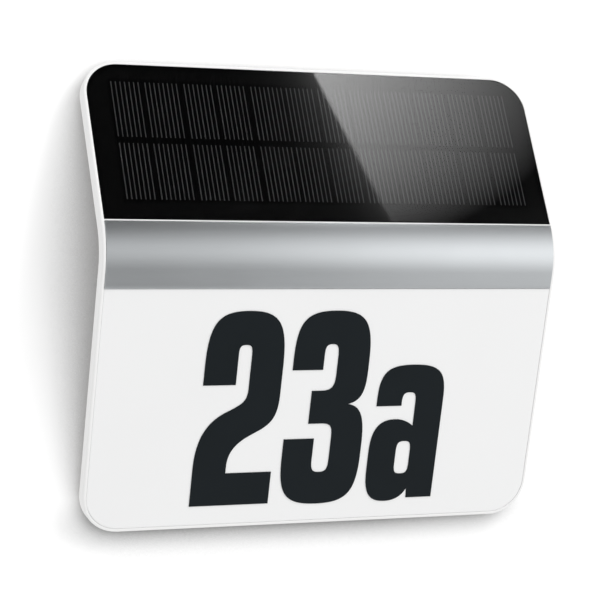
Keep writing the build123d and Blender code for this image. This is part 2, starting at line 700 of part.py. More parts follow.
with BuildPart() as rear_tub:
    with BuildSketch(Plane.YZ):
        add(tub_profile(0, frame_thickness + gasket_thickness))
    extrude(amount=tub_half_width, both=True)
    fillet(rear_tub.edges().filter_by(Axis.Y), tub_corner_radius)
    back = rear_tub.faces().sort_by(Axis.Y)[-1]
    chamfer(back.edges(), tub_edge_chamfer)
    with BuildPart(mode=Mode.PRIVATE) as hollow:
        with BuildSketch(Plane.YZ):
            add(tub_profile(tub_wall, frame_thickness - 2))
        extrude(amount=tub_half_width - tub_wall, both=True)
        fillet(hollow.edges().filter_by(Axis.Y), tub_corner_radius - tub_wall)
    add(hollow.part, mode=Mode.SUBTRACT)

    # Walls of the bracket recess, the battery pocket and the door's seat.
    with BuildSketch(behind_wall(tub_floor - 1)):
        with Locations((0, (recess_top + recess_bottom) / 2)):
            RectangleRounded(2 * (recess_half_width + tub_wall),
                             recess_top - recess_bottom + 2 * tub_wall, bracket_corner + tub_wall)
    extrude(amount=recess_depth + tub_wall - tub_floor + 1)
    with BuildSketch(behind_wall(tub_floor - 1)):
        with Locations((0, battery_height)):
            Rectangle(2 * (pocket_half_length + battery_wall), 2 * (pocket_half_height + battery_wall))
    extrude(amount=pocket_floor + battery_wall - tub_floor + 1)
    with BuildSketch(behind_wall(tub_floor - 1)):
        with Locations((door_travel / 2, battery_height)):
            Rectangle(door_length + door_travel + 2 * battery_wall, 2 * (tongue_z + battery_wall))
    extrude(amount=door_seat + door_gasket_thickness + battery_wall - tub_floor + 1)

    # Screw posts, and the snap clips that hold the circuit board by its ends.
    with BuildSketch(behind_wall(tub_floor - 1)):
        with Locations(*screw_places):
            RegularPolygon(boss_radius, boss_sides)
    extrude(amount=boss_meeting - tub_floor + 1)
    clip_front = board_front + clip_clearance
    for reach, start, end in ((clip_ledge, tub_floor - 1, board_stand_off),
                              (-clip_clearance, tub_floor - 1, clip_front),
                              (clip_lip, clip_front, clip_front + clip_lip_thickness)):
        clip_centre = (board_length + clip_clearance + clip_thickness - reach) / 2
        with BuildSketch(behind_wall(start)):
            with Locations((board_centre_x, board_centre_z)):
                with GridLocations(2 * clip_centre, 1, 2, 1):
                    Rectangle(reach + clip_clearance + clip_thickness, clip_height)
        extrude(amount=end - start)

    # Bracket recess and the two slots that hang on the hooks.
    with BuildSketch(behind_wall(0)):
        with Locations((0, (recess_top + recess_bottom) / 2)):
            RectangleRounded(2 * recess_half_width, recess_top - recess_bottom, bracket_corner)
    extrude(amount=recess_depth, mode=Mode.SUBTRACT)
    with BuildSketch(behind_wall(0)):
        with Locations((0, (hook_slot_top + hook_slot_bottom) / 2)):
            with GridLocations(hook_spacing, 1, 2, 1):
                Rectangle(hook_width + 3, hook_slot_top - hook_slot_bottom)
    extrude(amount=recess_depth + tub_wall + 1, mode=Mode.SUBTRACT)

    # Battery pocket, its gasket groove, and the seat, tongue grooves and notches of the door.
    with BuildSketch(behind_wall(0)):
        with Locations((0, battery_height)):
            Rectangle(2 * pocket_half_length, 2 * pocket_half_height)
    extrude(amount=pocket_floor, mode=Mode.SUBTRACT)
    with BuildSketch(behind_wall(door_seat)):
        with Locations((0, battery_height)):
            Rectangle(2 * (pocket_half_length + door_gasket_margin + door_gasket_width),
                      2 * (pocket_half_height + door_gasket_margin + door_gasket_width))
            Rectangle(2 * (pocket_half_length + door_gasket_margin),
                      2 * (pocket_half_height + door_gasket_margin), mode=Mode.SUBTRACT)
    extrude(amount=door_gasket_thickness, mode=Mode.SUBTRACT)
    with BuildSketch(behind_wall(0)):
        with Locations((door_travel / 2, battery_height)):
            Rectangle(door_length + door_travel + 2 * door_clearance, door_height + 2 * door_clearance)
    extrude(amount=door_seat, mode=Mode.SUBTRACT)
    groove_front = door_back - tongue_thickness - door_clearance
    with BuildSketch(behind_wall(groove_front)):
        with Locations((door_travel / 2, battery_height)):
            with GridLocations(tongue_spacing, 1, 2, 1):
                Rectangle(tongue_length + door_travel + 2 * door_clearance,
                          2 * (tongue_z + door_clearance))
    extrude(amount=door_seat - groove_front, mode=Mode.SUBTRACT)
    with BuildSketch(behind_wall(0)):
        with Locations((door_travel, battery_height)):
            with GridLocations(tongue_spacing, 1, 2, 1):
                Rectangle(tongue_length + 2 * door_clearance, 2 * (tongue_z + door_clearance))
    extrude(amount=groove_front, mode=Mode.SUBTRACT)
    with BuildSketch(Plane.XY.offset(battery_height)):
        with Locations((-pocket_half_length + contact_thickness, -battery_axis),
                       (pocket_half_length - contact_thickness, -battery_axis)):
            Rectangle(2 * contact_thickness + 0.2, contact_width + 0.4)
    extrude(amount=-(pocket_half_height + battery_wall + 1), mode=Mode.SUBTRACT)

    # Screw holes, the mode switch's opening, the vent hole and the bumpers' recesses.
    with BuildSketch(behind_wall(0)):
        with Locations(*screw_places):
            Circle(screw_head_radius + 0.3)
    extrude(amount=screw_seat, mode=Mode.SUBTRACT)
    with BuildSketch(behind_wall(0)):
        with Locations(*screw_places):
            Circle(screw_through_radius)
        with Locations((vent_x, board_centre_z)):
            Circle(vent_hole_radius)
        with Locations((board_centre_x + switch_travel / 2, board_centre_z)):
            Rectangle(knob_length + switch_travel + 2 * knob_clearance, knob_height + 2 * knob_clearance)
    extrude(amount=boss_meeting, mode=Mode.SUBTRACT)
    with BuildSketch(behind_wall(0)):
        with Locations((board_centre_x + switch_travel / 2, board_centre_z)):
            RectangleRounded(scoop_length, scoop_height, 2)
    extrude(amount=wall_gap + scoop_depth, mode=Mode.SUBTRACT)
    with BuildSketch(behind_wall(0)):
        with Locations(*bumper_places):
            Rectangle(bumper_length, bumper_height)
    extrude(amount=wall_gap + bumper_recess, mode=Mode.SUBTRACT)
save(rear_tub.part, "rear_tub")

save(tub_ring(0, tub_wall, frame_thickness, frame_thickness + gasket_thickness), "tub_gasket")

with BuildPart() as tub_screws:
    with BuildSketch(behind_wall(screw_seat - screw_head_height)):
        with Locations(*screw_places):
            Circle(screw_head_radius)
    extrude(amount=screw_head_height)
    with BuildSketch(behind_wall(screw_seat)):
        with Locations(*screw_places):
            RegularPolygon(screw_radius, screw_sides)
    extrude(amount=screw_length)
    with BuildSketch(behind_wall(screw_seat - screw_head_height)):
        with Locations(*screw_places):
            Rectangle(recess_length, recess_width)
            Rectangle(recess_width, recess_length)
    extrude(amount=recess_drop, mode=Mode.SUBTRACT)
save(tub_screws.part, "tub_screws")

with BuildPart() as rear_bumpers:
    with BuildSketch(behind_wall(0)):
        with Locations(*bumper_places):
            Rectangle(bumper_length - 2 * bumper_clearance, bumper_height - 2 * bumper_clearance)
    extrude(amount=wall_gap + bumper_recess)
save(rear_bumpers.part, "rear_bumpers")

with BuildPart() as vent_membrane:
    with BuildSketch(behind_wall(tub_floor)):
        with Locations((vent_x, board_centre_z)):
            Rectangle(vent_width, vent_width)
    extrude(amount=vent_thickness)
save(vent_membrane.part, "vent_membrane")

# ================================================================ wall bracket
with BuildPart() as wall_bracket:
    with BuildSketch(behind_wall(0)):
        RectangleRounded(bracket_width, bracket_height, bracket_corner)
        with GridLocations(bracket_hole_spacing, 1, 2, 1):
            SlotOverall(bracket_slot_length, 2 * bracket_hole_radius, mode=Mode.SUBTRACT)
        with Locations((0, hook_seat - bracket_thickness - hook_window_height / 2)):
            with GridLocations(hook_spacing, 1, 2, 1):
                Rectangle(hook_width + 1, hook_window_height, mode=Mode.SUBTRACT)
    extrude(amount=bracket_thickness)
    for side in (-1, 1):
        with BuildSketch(Plane.YZ.offset(side * hook_spacing / 2)) as hook:
            with BuildLine():
                Polyline((0, hook_seat - bracket_thickness), (-hook_reach, hook_seat - bracket_thickness),
                         (-hook_reach, hook_seat + hook_lip),
                         (-hook_reach + bracket_thickness, hook_seat + hook_lip),
                         (-hook_reach + bracket_thickness, hook_seat), (0, hook_seat), close=True)
            make_face()
            outer_bend = hook.vertices().sort_by_distance((-hook_reach, hook_seat - bracket_thickness))[0]
            fillet(outer_bend, bracket_thickness)
        extrude(amount=hook_width / 2, both=True)
save(wall_bracket.part, "wall_bracket")

# ================================================================ battery, contacts and door
with BuildPart() as battery_cell:
    with BuildSketch(Plane.YZ.offset(cell_start)):
        with Locations((-battery_axis, battery_height)):
            Circle(cell_radius)
    extrude(amount=cell_length - cell_nub)
    with BuildSketch(Plane.YZ.offset(cell_start + cell_length - cell_nub)):
        with Locations((-battery_axis, battery_height)):
            Circle(cell_nub_radius)
    extrude(amount=cell_nub)
save(battery_cell.part, "battery_cell")

contact_foot = battery_height - pocket_half_height - battery_wall - contact_tail
with BuildPart() as battery_spring:
    with BuildSketch(Plane.XZ.offset(battery_axis)):
        with BuildLine() as leaf:
            Line((-pocket_half_length, contact_foot), (-pocket_half_length, battery_height + 6))
            ThreePointArc((-pocket_half_length, battery_height + 6),
                          (cell_start - contact_thickness, battery_height),
                          (-pocket_half_length + 1.2, battery_height - 7))
            offset(leaf.line, amount=contact_thickness, side=Side.RIGHT)
        make_face()
    extrude(amount=contact_width / 2, both=True)
save(battery_spring.part, "battery_spring")

with BuildPart() as battery_contact:
    with BuildSketch(Plane.XZ.offset(battery_axis)):
        with Locations((pocket_half_length - contact_thickness / 2,
                        (battery_height + 6 + contact_foot) / 2)):
            Rectangle(contact_thickness, battery_height + 6 - contact_foot)
        with Locations((pocket_half_length - plate_room / 2, battery_height)):
            Rectangle(plate_room, 8)
    extrude(amount=contact_width / 2, both=True)
save(battery_contact.part, "battery_contact")

with BuildPart() as battery_door:
    with BuildSketch(behind_wall(wall_gap)):
        with Locations((0, battery_height)):
            RectangleRounded(door_length, door_height, 1.5)
    extrude(amount=door_thickness)
    with BuildSketch(behind_wall(door_back - tongue_thickness)):
        with Locations((0, battery_height)):
            with GridLocations(tongue_spacing, 1, 2, 1):
                Rectangle(tongue_length, 2 * tongue_z)
    extrude(amount=tongue_thickness)
    with BuildSketch(behind_wall(wall_gap)):
        with Locations((-door_length / 4, battery_height)):
            with GridLocations(door_grip_pitch, 1, door_grip_count, 1):
                Rectangle(door_grip_width, door_height / 2)
    extrude(amount=door_grip_depth, mode=Mode.SUBTRACT)
save(battery_door.part, "battery_door")

with BuildPart() as door_gasket:
    with BuildSketch(behind_wall(door_back + 0.05)):
        with Locations((0, battery_height)):
            Rectangle(2 * (pocket_half_length + door_gasket_margin + door_gasket_width),
                      2 * (pocket_half_height + door_gasket_margin + door_gasket_width))
            Rectangle(2 * (pocket_half_length + door_gasket_margin),
                      2 * (pocket_half_height + door_gasket_margin), mode=Mode.SUBTRACT)
    extrude(amount=door_gasket_thickness)
save(door_gasket.part, "door_gasket")

# ================================================================ circuit board and what is on it
with BuildPart() as main_board:
    with BuildSketch(behind_wall(board_stand_off)):
        with Locations((board_centre_x, board_centre_z)):
            Rectangle(board_length, board_height)
    extrude(amount=board_thickness)
save(main_board.part, "main_board")

with BuildPart() as control_chip:
    with BuildSketch(behind_wall(board_front)):
        with Locations((board_centre_x - 12, board_centre_z - 3)):
            with GridLocations(chip_pitch, chip_width + chip_leg, 4, 2):
                Rectangle(chip_leg_width, chip_leg)
    extrude(amount=chip_leg_thickness)
    with BuildSketch(behind_wall(board_front)):
        with Locations((board_centre_x - 12, board_centre_z - 3)):
            Rectangle(chip_length, chip_width)
    extrude(amount=chip_height)
save(control_chip.part, "control_chip")

with BuildPart() as charge_coil:
    with BuildSketch(behind_wall(board_front)):
        with Locations((board_centre_x + 10, board_centre_z - 2)):
            Rectangle(coil_width, coil_width)
    extrude(amount=coil_base)
    with BuildSketch(behind_wall(board_front + coil_base)):
        with Locations((board_centre_x + 10, board_centre_z - 2)):
            RegularPolygon(coil_width / 2, 8, major_radius=False)
    extrude(amount=coil_height - coil_base)
save(charge_coil.part, "charge_coil")

with BuildPart() as storage_capacitor:
    with BuildSketch(behind_wall(board_front)):
        with Locations((board_centre_x - 28, board_centre_z + 1)):
            Circle(capacitor_radius)
    extrude(amount=capacitor_height)
save(storage_capacitor.part, "storage_capacitor")

socket_top = board_centre_z + board_height / 2 - 0.8
with BuildPart() as lead_sockets:
    with BuildSketch(behind_wall(board_front)):
        with Locations(*[(x, socket_top - socket_height / 2) for x in socket_positions]):
            Rectangle(socket_length, socket_height)
    extrude(amount=socket_depth)
save(lead_sockets.part, "lead_sockets")

switch_front = board_stand_off - switch_depth
switch_slot = knob_length + switch_travel + 2 * knob_clearance
with BuildPart() as switch_body:
    with BuildSketch(behind_wall(switch_front)):
        with Locations((board_centre_x + switch_travel / 2, board_centre_z)):
            Rectangle(switch_length, switch_height)
    extrude(amount=switch_depth)
    with BuildSketch(behind_wall(switch_front + 1.0)):
        with Locations((board_centre_x + switch_travel / 2, board_centre_z)):
            Rectangle(knob_base_length + switch_travel + 2 * knob_clearance,
                      knob_base_height + 2 * knob_clearance)
    extrude(amount=knob_base_thickness + 2 * knob_clearance, mode=Mode.SUBTRACT)
    with BuildSketch(behind_wall(switch_front)):
        with Locations((board_centre_x + switch_travel / 2, board_centre_z)):
            Rectangle(switch_slot, knob_height + 2 * knob_clearance)
    extrude(amount=1.5, mode=Mode.SUBTRACT)
save(switch_body.part, "switch_body")

with BuildPart() as switch_knob:
    with BuildSketch(behind_wall(switch_front + 1.0 + knob_clearance)):
        with Locations((board_centre_x, board_centre_z)):
            Rectangle(knob_base_length, knob_base_height)
    extrude(amount=knob_base_thickness)
    with BuildSketch(behind_wall(knob_tip_gap)):
        with Locations((board_centre_x, board_centre_z)):
            Rectangle(knob_length, knob_height)
    extrude(amount=switch_front + 1.0 + knob_clearance + 0.1 - knob_tip_gap)
    with BuildSketch(behind_wall(knob_tip_gap)):
        with Locations((board_centre_x, board_centre_z)):
            with GridLocations(1.1, 1, 3, 1):
                Rectangle(0.4, knob_height)
    extrude(amount=0.4, mode=Mode.SUBTRACT)
save(switch_knob.part, "switch_knob")

# ================================================================ leads held inside
lead_depth = board_front + socket_depth / 2
below_battery = battery_height - pocket_half_height - battery_wall - lead_drop
beside_battery = -(pocket_half_length + battery_wall + lead_drop)


def into_socket(x):
    """Last two points of a lead, straight down into the top of a socket."""
    return [(x, -lead_depth, socket_top + lead_entry), (x, -lead_depth, socket_top)]


save(lead([(solar_hole_x, *on_top(solar_hole_run, foam_depth)),
           (solar_hole_x, *on_top(solar_hole_run, 2 * frame_thickness)),
           (lead_lane_x, -lead_lane_depth, battery_height),
           (beside_battery, -lead_lane_depth, below_battery),
           *into_socket(socket_positions[0])]), "solar_lead")

led_x = socket_positions[2]
save(lead([(led_x, *on_bottom(led_board_run, led_depth)),
           (led_x, *on_bottom(led_board_run / 2, led_depth)),
           (led_x, *on_bottom(led_board_run / 2, 2 * frame_thickness)),
           (led_x, -lead_lane_depth, below_battery + lead_drop), *into_socket(led_x)]), "led_lead")

battery_leads = []
for side in (-1, 1):
    tail_x = side * (pocket_half_length - contact_thickness / 2)
    tail = [(tail_x, -battery_axis, contact_foot - drop) for drop in (0, lead_tail)]
    inward = (tail_x - side * lead_entry, -battery_axis, below_battery)
    entry = into_socket(socket_positions[1] + side * lead_pair_gap / 2)
    battery_leads.append(lead([*tail, inward, *entry]))
save(Compound(battery_leads), "battery_leads")
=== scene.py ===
"""Looks of the illuminated house number sign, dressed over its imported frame.

The frame gives every node in metres: +X to the right seen from the front, -Y towards the viewer,
+Z up, with the wall as the plane Y = 0. New pieces are surfaces worked out with numpy, finishes
read Object coordinates, and the Slope class describes the two slopes of the front.
"""

import sys

import logging
from dataclasses import dataclass, field
from enum import Enum
from functools import cache
from typing import Callable, Iterable, Mapping, Sequence

import bpy
import numpy as np
from mathutils import Matrix, Vector

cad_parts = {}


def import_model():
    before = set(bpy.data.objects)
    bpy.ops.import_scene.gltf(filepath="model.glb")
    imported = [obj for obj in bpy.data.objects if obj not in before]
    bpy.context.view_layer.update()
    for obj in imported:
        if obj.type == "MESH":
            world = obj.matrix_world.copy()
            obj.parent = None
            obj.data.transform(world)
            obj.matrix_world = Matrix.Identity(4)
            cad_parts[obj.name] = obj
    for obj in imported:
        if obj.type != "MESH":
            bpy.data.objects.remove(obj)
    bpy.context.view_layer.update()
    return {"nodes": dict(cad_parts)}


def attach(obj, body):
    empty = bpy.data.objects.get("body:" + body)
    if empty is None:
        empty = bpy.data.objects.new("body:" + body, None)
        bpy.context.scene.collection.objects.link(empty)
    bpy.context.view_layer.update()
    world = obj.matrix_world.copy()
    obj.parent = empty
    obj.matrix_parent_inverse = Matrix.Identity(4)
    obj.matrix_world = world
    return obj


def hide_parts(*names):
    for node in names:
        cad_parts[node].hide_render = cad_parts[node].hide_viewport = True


log = logging.getLogger("sign")

Triple = tuple[float, float, float]
Colour = Triple
Points = np.ndarray
Pairs = tuple[tuple[float, float], ...]
Piece = bpy.types.Object
ToSlope = Callable[[Points, Points | float], tuple[Points, Points]]

MM = 0.001
WHITE: Colour = (1.0, 1.0, 1.0)
SHARP = float(np.radians(38))
QUARTER: Points = np.linspace(0, np.pi / 2, 5)
TUB_BACK = -1.0 * MM
FINGER_PITCH = 2.311 * MM
FINGER_PLAN = "fingers"


# ---- shader maths
def maths(operation: str) -> Callable[..., "Wire"]:
    """A method that adds one Math node to its wire and to what else it is given.

    Args:
        operation: the Math node's operation.

    Returns:
        The method.
    """

    def method(self: "Wire", *others: "Wire | float") -> "Wire":
        """The Math node's result."""
        values = dict(enumerate((self, *others)))
        return self.paint.node("ShaderNodeMath", {"operation": operation}, values)

    return method


class Wire:
    """A shader value or vector on its way between nodes; arithmetic on it adds Math nodes."""

    def __init__(self, paint: "Paint", socket: "bpy.types.NodeSocket | None") -> None:
        """Keep the output socket and the paint that it belongs to."""
        self.paint, self.socket = paint, socket

    __add__ = __radd__ = maths("ADD")
    __sub__ = maths("SUBTRACT")
    __mul__ = __rmul__ = maths("MULTIPLY")
    __truediv__ = maths("DIVIDE")
    __pow__ = maths("POWER")
    __gt__ = maths("GREATER_THAN")
    __lt__ = maths("LESS_THAN")
    __abs__ = maths("ABSOLUTE")
    at_least = maths("MAXIMUM")
    at_most = maths("MINIMUM")
    floor = maths("FLOOR")
    fraction = maths("FRACT")
    exp = maths("EXPONENT")

    def __rsub__(self, other: float) -> "Wire":
        """A number less this value."""
        return self.paint.node("ShaderNodeMath", {"operation": "SUBTRACT"}, {0: other, 1: self})

    def off_middle(self) -> "Wire":
        """Distance from the middle between two whole numbers, 0 to 0.5."""
        return abs(self.fraction() - 0.5)

    def held(self, low: float, high: float) -> "Wire":
        """The value kept between two numbers."""
        return self.at_least(low).at_most(high)

    def step(self, start: float, end: float) -> "Wire":
        """Smooth rise from 0 where the value is start to 1 where it is end."""
        rise = {"Value": self, "From Min": start, "From Max": end}
        return self.paint.node("ShaderNodeMapRange", {"interpolation_type": "SMOOTHSTEP"}, rise)


Value = Wire | float


class Ray(Enum):
    """Kind of ray that a shader can tell apart."""

    CAMERA = "Is Camera Ray"
    GLOSSY = "Is Glossy Ray"
    TRANSMISSION = "Is Transmission Ray"


class Paint:
    """The node tree of one material or world, with the few calls that fill it."""

    def __init__(self, tree: bpy.types.NodeTree) -> None:
        """Take a node tree and empty it."""
        self.tree = tree
        tree.nodes.clear()

    def node(
        self,
        kind: str,
        settings: Mapping[str, object] | None = None,
        sockets: Mapping[str | int, object] | None = None,
        out: str | int = 0,
    ) -> Wire:
        """Add any node.

        Args:
            kind: the node's type.
            settings: its properties, set before its sockets.
            sockets: values or wires for its inputs, by name or by number.
            out: name or number of the output that is returned.

        Returns:
            The chosen output.
        """
        made = self.tree.nodes.new(kind)
        for name, value in (settings or {}).items():
            setattr(made, name, value)
        for name, value in (sockets or {}).items():
            if isinstance(value, Wire):
                self.tree.links.new(value.socket, made.inputs[name])
            elif isinstance(value, tuple) and made.inputs[name].type == "RGBA":
                made.inputs[name].default_value = (*value, 1.0)
            else:
                made.inputs[name].default_value = value
        return Wire(self, made.outputs[out] if len(made.outputs) else None)

    def place(self) -> Wire:
        """Object coordinates, in metres."""
        return self.node("ShaderNodeTexCoord", out="Object")

    def ray(self, kind: Ray) -> Wire:
        """1 where a ray of this kind sees the surface."""
        return self.node("ShaderNodeLightPath", out=kind.value)

    def open_share(self, reach: float) -> Wire:
        """Share of the view that is open within a reach, 0 in a tight corner and 1 in the open."""
        return self.node("ShaderNodeAmbientOcclusion", {"samples": 8}, {"Distance": reach}, "AO")

    def parts(self, vector: Wire) -> tuple[Wire, ...]:
        """The x, y and z of a vector."""
        made = self.node("ShaderNodeSeparateXYZ", None, {0: vector})
        return tuple(Wire(self, output) for output in made.socket.node.outputs)

    def vectors(self, operation: str, *values: Wire | Triple, out: str = "Vector") -> Wire:
        """One Vector Math node on wires and constants."""
        return self.node("ShaderNodeVectorMath", {"operation": operation}, dict(enumerate(values)), out)

    def stretched(self, scale: Triple) -> Wire:
        """Object coordinates times a scale for each axis."""
        return self.vectors("MULTIPLY", self.place(), scale)

    def reach(self, start: Triple, direction: Triple) -> Wire:
        """How far a place lies from a start along a direction of length 1."""
        away = self.vectors("SUBTRACT", self.place(), start)
        return self.vectors("DOT_PRODUCT", away, direction, out="Value")

    def noise(
        self, vector: Wire, size: float, detail: float = 2.0, roughness: float = 0.5, out: str | int = 0
    ) -> Wire:
        """Noise from about 0 to 1 with features of a size, finer layers and their strength."""
        sockets = {"Vector": vector, "Scale": 1.0 / size, "Detail": detail, "Roughness": roughness}
        return self.node("ShaderNodeTexNoise", {"noise_dimensions": "3D"}, sockets, out)

    def chance(self, value: Wire) -> Wire:
        """A random number from 0 to 1 for each whole value."""
        return self.node("ShaderNodeTexWhiteNoise", {"noise_dimensions": "1D"}, {"W": value})

    def crystals(self, vector: Wire, size: float, out: str = "Distance") -> Wire:
        """Voronoi cells: the distance from each one's middle, or its own random colour."""
        return self.node("ShaderNodeTexVoronoi", None, {"Vector": vector, "Scale": 1.0 / size}, out)

    def mix(self, first: Colour | Wire, second: Colour | Wire, share: Value) -> Wire:
        """The first colour where the share is 0, the second where it is 1."""
        settings = {"data_type": "RGBA", "clamp_factor": True}
        return self.node("ShaderNodeMix", settings, {0: share, 6: first, 7: second}, out=2)

    def tint(self, colour: Colour, low: float, high: float, share: Value) -> Wire:
        """The colour times low where the share is 0, times high where it is 1."""
        return self.mix(shade(colour, low), shade(colour, high), share)

    def bump(self, height: Wire, depth: float, strength: float = 1.0) -> Wire:
        """Normal that follows a height whose 1 is worth a depth in metres."""
        return self.node("ShaderNodeBump", None, {"Height": height, "Distance": depth, "Strength": strength})

    def glow(self, strength: Wire, kind: str = "ShaderNodeEmission") -> Wire:
        """A white light of a strength, as Emission or as a world's Background."""
        return self.node(kind, None, {"Color": WHITE, "Strength": strength})

    def surface(self, **sockets: object) -> None:
        """Show a Principled shader; its sockets go by name, with underscores for spaces."""
        named = {name.replace("_", " "): value for name, value in sockets.items()}
        self.show(self.node("ShaderNodeBsdfPrincipled", None, named))

    def show(self, shader: Wire, kind: str = "ShaderNodeOutputMaterial") -> None:
        """Lead a shader to the output."""
        self.node(kind, None, {"Surface": shader})


def shade(colour: Colour, share: float) -> Colour:
    """Each channel times a share, 1 at most."""
    return tuple(min(1.0, channel * share) for channel in colour)


# ---- section of the front
@dataclass(frozen=True)
class Slope:
    """The front's bent section: two straight slopes joined by a round fold, in metres.

    A point on a slope is the fold line's point, moved run along the slope and depth square to it.
    """

    stand_off: float = 47.5 * MM
    height: float = -30.0 * MM
    top_lean: float = float(np.radians(23.7))
    bottom_lean: float = float(np.radians(16.1))
    radius: float = 35.5 * MM

    def on_top(self, run: Points, depth: Points | float) -> tuple[Points, Points]:
        """y and z at a run up the solar slope from the sharp fold line and a depth behind its front."""
        s, c = np.sin(self.top_lean), np.cos(self.top_lean)
        return -self.stand_off + run * s + depth * c, self.height + run * c - depth * s

    def on_bottom(self, run: Points, depth: Points | float) -> tuple[Points, Points]:
        """y and z at a run down the number slope from the sharp fold line and a depth behind its front."""
        s, c = np.sin(self.bottom_lean), np.cos(self.bottom_lean)
        return -self.stand_off + run * s + depth * c, self.height - run * c + depth * s

    def on_fold(self, turn: Points, depth: Points | float) -> tuple[Points, Points]:
        """Point on the round fold.

        The arc's centre lies where both slopes' normals at the tangent points meet; the point is
        the centre less (radius - depth) along a normal that turns from the top's to the bottom's.

        Args:
            turn: 0 at the top's tangent, 1 at the bottom's.
            depth: distance behind the front surface.

        Returns:
            y and z.
        """
        a, b = self.top_lean, self.bottom_lean
        reach = self.radius / (2 * np.cos((a + b) / 2) ** 2)
        centre_y = -self.stand_off + reach * (np.cos(a) + np.cos(b))
        centre_z = self.height + reach * (np.sin(b) - np.sin(a))
        angle = a - turn * (a + b)
        return (centre_y - (self.radius - depth) * np.cos(angle),
                centre_z + (self.radius - depth) * np.sin(angle))

    @property
    def fold_line(self) -> Triple:
        """A point of the sharp fold line."""
        return 0.0, -self.stand_off, self.height

    @property
    def up(self) -> Triple:
        """Direction up the solar slope."""
        return 0.0, float(np.sin(self.top_lean)), float(np.cos(self.top_lean))

    @property
    def down(self) -> Triple:
        """Direction down the number slope."""
        return 0.0, float(np.sin(self.bottom_lean)), -float(np.cos(self.bottom_lean))

    @property
    def tangent_run(self) -> float:
        """Run from the sharp fold line to where the round fold starts."""
        return self.radius * float(np.tan((self.top_lean + self.bottom_lean) / 2))


SLOPE = Slope()


# ---- finishes
class Axis(Enum):
    """Direction of a brushed or drawn grain, as the scale that stretches noise along it."""

    X = (0.04, 1.0, 1.0)
    Y = (1.0, 0.04, 1.0)


@dataclass(frozen=True)
class Finish:
    """A surface finish that fills a material's nodes."""

    def lay(self, paint: Paint) -> None:
        """Fill the material; each finish has its own."""
        raise NotImplementedError

    def material(self, name: str) -> bpy.types.Material:
        """A new material of this finish.

        Args:
            name: the material's name.

        Returns:
            The material.
        """
        made = bpy.data.materials.new(name)
        made.use_nodes = True
        self.lay(Paint(made.node_tree))
        return made


@dataclass(frozen=True)
class Grain:
    """One scale of noise on a surface: the size of its features, and its finer layers."""

    size: float
    detail: float = 2.0
    roughness: float = 0.5

    def on(self, paint: Paint) -> Wire:
        """The noise over Object coordinates, about 0 to 1."""
        return paint.noise(paint.place(), self.size, self.detail, self.roughness)


@dataclass(frozen=True)
class Skinned(Finish):
    """A material whose tint and gloss drift slowly and whose fine skin lifts the normal."""

    colour: Colour
    roughness: float = 0.5
    tint: tuple[float, float] = (0.985, 1.015)
    drift: Grain = Grain(60 * MM, 1)
    gloss_drift: Grain | None = None
    gloss_spread: float = 0.1
    skin: Grain = Grain(0.35 * MM, 2, 0.6)
    skin_spread: float = 0.06
    relief: float = 0.006 * MM
    strength: float = 0.6
    specular: float = 0.5

    def lay(self, paint: Paint) -> None:
        """The gloss has a drift of its own, or else it follows the tint's."""
        drift, skin = self.drift.on(paint), self.skin.on(paint)
        gloss = self.gloss_drift.on(paint) if self.gloss_drift else drift
        spread = self.gloss_spread * (gloss - 0.5) + self.skin_spread * (skin - 0.5)
        paint.surface(
            Base_Color=paint.tint(self.colour, *self.tint, drift),
            Roughness=self.roughness + spread,
            Specular_IOR_Level=self.specular,
            Normal=paint.bump(skin, self.relief, self.strength),
        )


@dataclass(frozen=True)
class Moulded(Skinned):
    """Moulded plastic with a fine spark-eroded skin."""

    gloss_drift: Grain = Grain(15 * MM, 3)


@dataclass(frozen=True)
class Opal(Skinned):
    """Satin opal acrylic: faint clouds under a matt rolled skin."""

    roughness: float = 0.42
    tint: tuple[float, float] = (0.988, 1.008)
    drift: Grain = Grain(45 * MM)
    gloss_spread: float = 0.05
    skin: Grain = Grain(0.22 * MM, 2, 0.55)
    skin_spread: float = 0.08
    relief: float = 0.003 * MM
    strength: float = 0.5
    specular: float = 0.4


@dataclass(frozen=True)
class Film(Skinned):
    """Calendered adhesive film, rubbed in broad patches, with a trace of orange peel."""

    tint: tuple[float, float] = (0.9, 1.12)
    drift: Grain = Grain(22 * MM, 3)
    gloss_spread: float = 0.14
    skin: Grain = Grain(1.1 * MM, 3)
    skin_spread: float = 0.05
    relief: float = 0.012 * MM
    strength: float = 0.4
    specular: float = 0.3


@dataclass(frozen=True)
class Elastomer(Skinned):
    """Rubber or silicone: bloom lightens patches, and a fine grain breaks up the sheen."""

    roughness: float = 0.75
    tint: tuple[float, float] = (1.0, 1.36)
    drift: Grain = Grain(3 * MM, 4, 0.6)
    gloss_spread: float = 0.15
    skin: Grain = Grain(0.3 * MM)
    skin_spread: float = 0.0
    relief: float = 0.03 * MM


@dataclass(frozen=True)
class Brushed(Finish):
    """Metal with a drawn or brushed grain along one axis."""

    colour: Colour
    axis: Axis
    roughness: float = 0.34
    hair: float = 0.22 * MM
    relief: float = 0.004 * MM
    contrast: float = 0.05
    sheen_spread: float = 0.1

    def lay(self, paint: Paint) -> None:
        """Long hairs of two widths change the tint, the gloss and the normal across the grain."""
        drawn = paint.stretched(self.axis.value)
        fine = paint.noise(drawn, size=self.hair, detail=3, roughness=0.7)
        broad = paint.noise(drawn, size=self.hair * 6)
        worn = paint.noise(paint.place(), size=25 * MM)
        hairs = 0.65 * fine + 0.35 * broad
        paint.surface(
            Base_Color=paint.tint(self.colour, 1 - self.contrast, 1 + self.contrast, hairs),
            Metallic=1.0,
            Roughness=self.roughness + self.sheen_spread * (hairs - 0.5) + 0.05 * (worn - 0.5),
            Normal=paint.bump(hairs, self.relief),
        )


